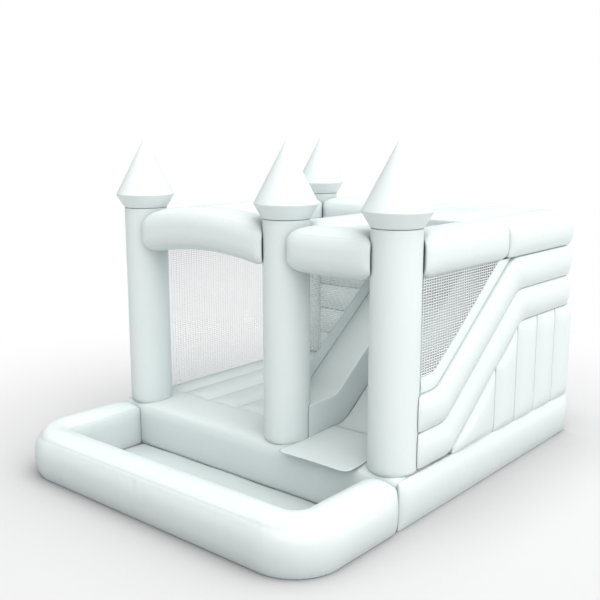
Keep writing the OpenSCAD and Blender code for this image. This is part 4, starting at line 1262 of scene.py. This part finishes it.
def noise(tree, at, scale, detail, rough):
    inputs = {"Vector": at, "Scale": scale, "Detail": detail, "Roughness": rough}
    return add(tree, "ShaderNodeTexNoise", inputs).outputs[0]


def ramp(tree, value, start, stop, first=0.0, last=1.0, kind="LINEAR"):
    """first where value is start or less, last where it is stop or more, and what lies between them."""
    inputs = {"Value": value, "From Min": start, "From Max": stop, "To Min": first, "To Max": last}
    return add(tree, "ShaderNodeMapRange", inputs, interpolation_type=kind).outputs[0]


def mixed(tree, share, a, b):
    """The colour a, and b where share is 1."""
    return add(tree, "ShaderNodeMix", {"Factor": share, 6: a, 7: b}, data_type="RGBA").outputs[2]


def group(name, sockets, out):
    """A new node group with its inputs' sockets and its one output."""
    g = bpy.data.node_groups.new(name, "ShaderNodeTree")
    for key, value in sockets.items():
        g.interface.new_socket(key, in_out="INPUT", socket_type="NodeSocketFloat").default_value = value
    g.interface.new_socket(out, in_out="OUTPUT", socket_type="NodeSocketFloat")
    return g, g.nodes.new("NodeGroupInput").outputs, g.nodes.new("NodeGroupOutput").inputs[0]


def effect(tree, g, values=()):
    """The output of a group, with some of its inputs set."""
    n = tree.nodes.new("ShaderNodeGroup")
    n.node_tree = g
    for k, v in dict(values).items():
        n.inputs[k].default_value = v
    return n.outputs[0]


# %% Weld lines
weld_line, g_in, g_out = group("weld line", {"Width": 0.006}, "Mask")
near = ramp(weld_line, attribute(weld_line, "seam"), 0.0, g_in["Width"], 1.0, 0.0, "SMOOTHSTEP")
weld_line.links.new(near, g_out)

# %% Stitches
STITCH_SHARE = 0.65  # how much of a stitch's pitch shows thread
stitch_line, g_in, g_out = group("stitch line", {"Inset": 0.012, "Width": 0.0018, "Pitch": 0.008}, "Mask")
inset = calc(stitch_line, "SUBTRACT", attribute(stitch_line, "seam"), g_in["Inset"])
off = calc(stitch_line, "ABSOLUTE", inset)
line = calc(stitch_line, "LESS_THAN", off, g_in["Width"])
beat = calc(stitch_line, "FRACT", calc(stitch_line, "DIVIDE", attribute(stitch_line, "along"), g_in["Pitch"]))
dash = calc(stitch_line, "LESS_THAN", beat, STITCH_SHARE)
stitch_line.links.new(calc(stitch_line, "MULTIPLY", line, dash), g_out)

# %% Puckers
LONGER_UP = (1.0, 1.0, 0.4)  # puckers are longer upwards than they are wide
puckers, g_in, g_out = group("puckers", {"Reach": 0.06, "Pitch": 0.05}, "Height")
squeezed = {0: places(puckers), 1: LONGER_UP}
flat = add(puckers, "ShaderNodeVectorMath", squeezed, operation="MULTIPLY").outputs[0]
per_pitch = calc(puckers, "DIVIDE", 1.0, g_in["Pitch"])
folds_at = add(puckers, "ShaderNodeVectorMath", {0: flat, 3: per_pitch}, operation="SCALE").outputs[0]
away_from = calc(puckers, "MULTIPLY", attribute(puckers, "seam"), -1.0)
fade = calc(puckers, "EXPONENT", calc(puckers, "DIVIDE", away_from, g_in["Reach"]))
puckers.links.new(calc(puckers, "MULTIPLY", noise(puckers, folds_at, 1.0, 2.0, 0.45), fade), g_out)

# %% Weave
weave, g_in, g_out = group("weave", {"Pitch": 0.003}, "Height")
turns = calc(weave, "DIVIDE", 2 * math.pi, g_in["Pitch"])
waves = [calc(weave, "SINE", calc(weave, "MULTIPLY", part, turns)) for part in split(weave, places(weave))]
threads = calc(weave, "ADD", calc(weave, "ADD", waves[0], waves[1]), waves[2])
weave.links.new(calc(weave, "MULTIPLY_ADD", threads, 1 / 6, 0.5), g_out)

# %% Drift of tone
tone, g_in, g_out = group("tone drift", {"Scale": 1.4}, "Mask")
tone.links.new(noise(tone, places(tone), g_in["Scale"], 3.0, 0.55), g_out)

# %% Scuffs
HIGH_SHARE = 0.15  # how much of the scuffs is left high up
scuffs, g_in, g_out = group("scuffs", {"Low": 0.0, "High": 0.9}, "Mask")
low = ramp(scuffs, split(scuffs, places(scuffs))[2], g_in["Low"], g_in["High"], 1.0, HIGH_SHARE)
sharp = ramp(scuffs, noise(scuffs, places(scuffs), 6.0, 6.0, 0.7), 0.52, 0.75)
scuffs.links.new(calc(scuffs, "MULTIPLY", sharp, low, clamp=True), g_out)

# %% Painted shade of shut-in places
# Painted shade: the ambient occlusion of nearby surfaces becomes a mask that darkens colour in corners,
# creases and gaps. Faces that turn downwards get less of it, and faces pointing straight down get none.
UNDERSIDE = 1.3  # how fast the effect fades as a face turns downwards
painted_shade_mask, g_in, g_out = group("shut in", {"Reach": 0.6}, "Mask")
open_air = add(painted_shade_mask, "ShaderNodeAmbientOcclusion", {"Distance": g_in["Reach"]}, samples=6).outputs["AO"]
rise = split(painted_shade_mask, add(painted_shade_mask, "ShaderNodeNewGeometry").outputs["Normal"])[2]
not_under = calc(painted_shade_mask, "MULTIPLY_ADD", rise, UNDERSIDE, 1.0, clamp=True)
painted_shade_mask.links.new(calc(painted_shade_mask, "MULTIPLY", calc(painted_shade_mask, "SUBTRACT", 1.0, open_air), not_under), g_out)
print("effects", [g.name for g in bpy.data.node_groups])

# %% [markdown]
# ## Finishes
# The whole house is one pale, slightly cool white, darkened by a painted shade in corners and creases.
# The coated cloth is satin: smooth enough for a soft highlight, with a faint weave. Welds are a little
# darker, dust sits low on the base, and the slide is glossier than the walls because it is lacquered.
# Nets, webbing, the zip and the steel have their own.

# %% Finish maker
WHITE = (0.745, 0.808, 0.804)
# The third of these numbers is how dark the painted shade in corners, creases and gaps between chambers is.
DUSTY, WELDED, PAINTED_SHADE, THREAD = 0.62, 0.42, 0.45, 0.5  # how dark dust, a weld, a corner and a thread are
THREAD_SHOWS, THREAD_UP, WELD_IN = 0.55, 0.0008, -0.0015
SCUFF_ROUGH = 0.12  # how much rougher a scuff is
finishes = {}


def shade(colour, k):
    return tuple(v * k for v in colour)


def finish(name, colour, dark, rough, weld=0.14, weld_w=0.006, stitches=None, pucker=0.0, pitch=0.003,
           grain=0.0004, dust=0.10, specular=0.4, metallic=0.0, coat=0.0, drift=0.35, painted_shade_share=0.52):
    """A finish whose welds, stitches, dust, folds and painted shade come from the shared groups."""
    m = finishes[name] = bpy.data.materials.new(name)
    m.use_nodes = True
    t = m.node_tree
    shader = t.nodes["Principled BSDF"]

    def tint(base, mask, share, k):
        return mixed(t, calc(t, "MULTIPLY", mask, share), base, (*shade(colour, k), 1.0))

    spots, line = effect(t, scuffs), effect(t, weld_line, {"Width": weld_w})
    base = mixed(t, calc(t, "MULTIPLY", effect(t, tone), drift), (*colour, 1.0), (*dark, 1.0))
    base = tint(base, spots, dust, DUSTY)
    base = tint(base, line, weld, WELDED)
    # Painted shade: where nearby surfaces occlude, the colour darkens the way shade does in corners, creases
    # and gaps between chambers.
    if painted_shade_share:
        base = tint(base, effect(t, painted_shade_mask), painted_shade_share, PAINTED_SHADE)
    height = calc(t, "MULTIPLY", effect(t, weave, {"Pitch": pitch}), grain)
    if pucker:
        height = calc(t, "MULTIPLY_ADD", effect(t, puckers), pucker, height)
    height = calc(t, "MULTIPLY_ADD", line, WELD_IN if weld else 0.0, height)
    if stitches:
        thread = effect(t, stitch_line, stitches)
        base = tint(base, thread, THREAD_SHOWS, THREAD)
        height = calc(t, "MULTIPLY_ADD", thread, THREAD_UP, height)
    bump = add(t, "ShaderNodeBump", {"Height": height, "Strength": 0.9, "Distance": 1.0}).outputs[0]
    t.links.new(base, shader.inputs["Base Color"])
    t.links.new(calc(t, "MULTIPLY_ADD", spots, SCUFF_ROUGH, rough), shader.inputs["Roughness"])
    t.links.new(bump, shader.inputs["Normal"])
    shader.inputs["Specular IOR Level"].default_value = specular
    shader.inputs["Metallic"].default_value = metallic
    shader.inputs["Coat Weight"].default_value = coat


# %% All finishes
finish("wall_vinyl", WHITE, shade(WHITE, 0.95), 0.46, pucker=0.006)
finish("spire_vinyl", shade(WHITE, 1.04), WHITE, 0.46, weld=0.30, weld_w=0.004)
finish("slide_vinyl", shade(WHITE, 0.985), shade(WHITE, 0.94), 0.34, weld=0.5, weld_w=0.008, pucker=0.005,
       coat=0.12)
finish("pool_floor_vinyl", shade(WHITE, 0.97), shade(WHITE, 0.9), 0.38, weld=0.3, weld_w=0.012, coat=0.1)
finish("net_mesh", (0.93, 0.96, 0.96), (0.90, 0.93, 0.93), 0.65, painted_shade_share=0.0, weld=0.12, weld_w=0.003,
       pitch=0.0012, grain=0.0002, dust=0.05)
finish("net_border", (0.80, 0.86, 0.86), (0.76, 0.82, 0.82), 0.6, weld=0.15, stitches={"Inset": 0.014},
       pitch=0.0016, grain=0.0003)
finish("baffle_cloth", (0.72, 0.80, 0.80), (0.64, 0.72, 0.72), 0.8, stitches={"Inset": 0.016}, pitch=0.002)
finish("sleeve_cloth", (0.80, 0.87, 0.87), (0.72, 0.80, 0.80), 0.7,
       stitches={"Inset": 0.010, "Pitch": 0.007}, pitch=0.0014, grain=0.0003)
finish("webbing", (0.50, 0.56, 0.56), (0.40, 0.46, 0.46), 0.75, weld=0.2, weld_w=0.0015,
       stitches={"Inset": 0.006, "Width": 0.0010, "Pitch": 0.006}, pitch=0.0022, grain=0.0007)
finish("ring_steel", (0.58, 0.60, 0.61), (0.48, 0.50, 0.51), 0.26, weld=0.0, pitch=0.0006, grain=0.00002,
       metallic=1.0, specular=0.5)
finish("zip_plastic", (0.60, 0.66, 0.66), (0.52, 0.58, 0.58), 0.42, weld=0.12, weld_w=0.0015,
       stitches={"Inset": 0.005, "Width": 0.0008, "Pitch": 0.005}, pitch=0.0010, grain=0.0002)
finish("zip_metal", (0.62, 0.63, 0.64), (0.50, 0.51, 0.52), 0.30, weld=0.0, pitch=0.0005, grain=0.00002,
       metallic=1.0, specular=0.5)
for o in bpy.context.scene.objects:
    if o.type == "MESH" and "finish" in o:
        o.data.materials.append(finishes[o["finish"]])
kept = {"left_anchor_ring": "ring_steel", "right_anchor_ring": "ring_steel",
        "zip_slider": "zip_metal", "zip_pull": "zip_metal"}
for node, key in kept.items():
    o = frame["nodes"][node]
    if not o.material_slots:
        o.data.materials.append(finishes[key])
    for s in o.material_slots:
        s.material = finishes[key]
print("finishes", len(finishes))

# %% [markdown]
# ## Floor and light
# A pale round floor takes the soft shadow and turns into plain white far from the house, so no horizon
# shows. Near the house its colour also darkens in a painted contact shadow. The light is a wide white sky
# that is brighter on the right and above than in front, and one very soft lamp from the same side.

# %% Floor
FLOOR_R, ROUND_N = 60, 64
# The last of these colours is a painted contact shadow. The floor as seen darkens towards it near the house,
# where occlusion is strong.
PAPER, PAPER_SEEN, PAPER_PAINTED_SHADOW = ((v, v, v, 1) for v in (0.44, 0.65, 0.20))  # for other rays, seen, shut in
SHADOW_REACH, SHADOW_SHARE = 1.1, 0.75
BLEND_AT, BLEND_FROM, BLEND_TO = (0.9, -0.9, 0.0), 3.6, 8.5  # where it turns into plain white
rings_r = [3, 5, 8, 14, 30, FLOOR_R]
a = np.linspace(0, 2 * math.pi, ROUND_N + 1)[:-1]
v = [(0, 0, 0)] + [(r * math.cos(t), r * math.sin(t), 0) for r in rings_r for t in a]
f = [(0, 1 + j, 1 + (j + 1) % ROUND_N) for j in range(ROUND_N)]
for i in range(len(rings_r) - 1):
    p, q = 1 + ROUND_N * i, 1 + ROUND_N * (i + 1)
    f += [(p + j, q + j, q + (j + 1) % ROUND_N, p + (j + 1) % ROUND_N) for j in range(ROUND_N)]
mesh = bpy.data.meshes.new("floor")
mesh.from_pydata(v, [], f)
floor = bpy.data.objects.new("floor", mesh)
bpy.context.scene.collection.objects.link(floor)
paper = bpy.data.materials.new("floor_paper")
paper.use_nodes = True
t = paper.node_tree
shader = t.nodes["Principled BSDF"]
shader.inputs["Roughness"].default_value = 0.9
shader.inputs["Specular IOR Level"].default_value = 0.1
seen = add(t, "ShaderNodeLightPath").outputs["Is Camera Ray"]
# Painted shadow: near the house, the occlusion mask darkens the floor's seen colour.
near = calc(t, "MULTIPLY", effect(t, painted_shade_mask, {"Reach": SHADOW_REACH}), SHADOW_SHARE)
t.links.new(mixed(t, seen, PAPER, mixed(t, near, PAPER_SEEN, PAPER_PAINTED_SHADOW)), shader.inputs["Base Color"])
far = add(t, "ShaderNodeVectorMath", {0: places(t), 1: BLEND_AT}, operation="DISTANCE").outputs["Value"]
blend = ramp(t, far, BLEND_FROM, BLEND_TO, kind="SMOOTHSTEP")
glow = add(t, "ShaderNodeEmission", {"Color": (1, 1, 1, 1), "Strength": 1.0}).outputs[0]
both = add(t, "ShaderNodeMixShader", {0: blend, 1: shader.outputs[0], 2: glow}).outputs[0]
t.links.new(both, t.nodes["Material Output"].inputs["Surface"])
mesh.materials.append(paper)

# %% Light
SKY, SIDE = 0.45, 0.66  # light from everywhere, and how much more comes from TO_LIGHT
TO_LIGHT = (0.84, -0.16, 1.35)
LAMP, LAMP_WIDE, LAMP_TURN = 1.3, 70, (6, 31, 0)  # strength, and degrees
world = bpy.data.worlds.new("studio")
bpy.context.scene.world = world
world.use_nodes = True
t = world.node_tree
back = t.nodes["Background"]
looking = add(t, "ShaderNodeTexCoord").outputs["Generated"]
toward = add(t, "ShaderNodeVectorMath", {0: looking, 1: TO_LIGHT}, operation="DOT_PRODUCT").outputs["Value"]
strength = calc(t, "MAXIMUM", calc(t, "MULTIPLY_ADD", toward, SIDE, SKY), 0.0)
seen = add(t, "ShaderNodeLightPath").outputs["Is Camera Ray"]
level = add(t, "ShaderNodeMix", {"Factor": seen, 2: strength, 3: 1.0}, data_type="FLOAT").outputs[0]
back.inputs["Color"].default_value = (1, 1, 1, 1)
t.links.new(level, back.inputs["Strength"])
lamp = bpy.data.objects.new("soft_sun", bpy.data.lights.new("soft_sun", "SUN"))
bpy.context.scene.collection.objects.link(lamp)
lamp.data.energy = LAMP
lamp.data.angle = math.radians(LAMP_WIDE)
lamp.rotation_euler = [math.radians(v) for v in LAMP_TURN]
bpy.context.scene.view_settings.view_transform = "Standard"
print("sky", SKY, "lamp", LAMP)
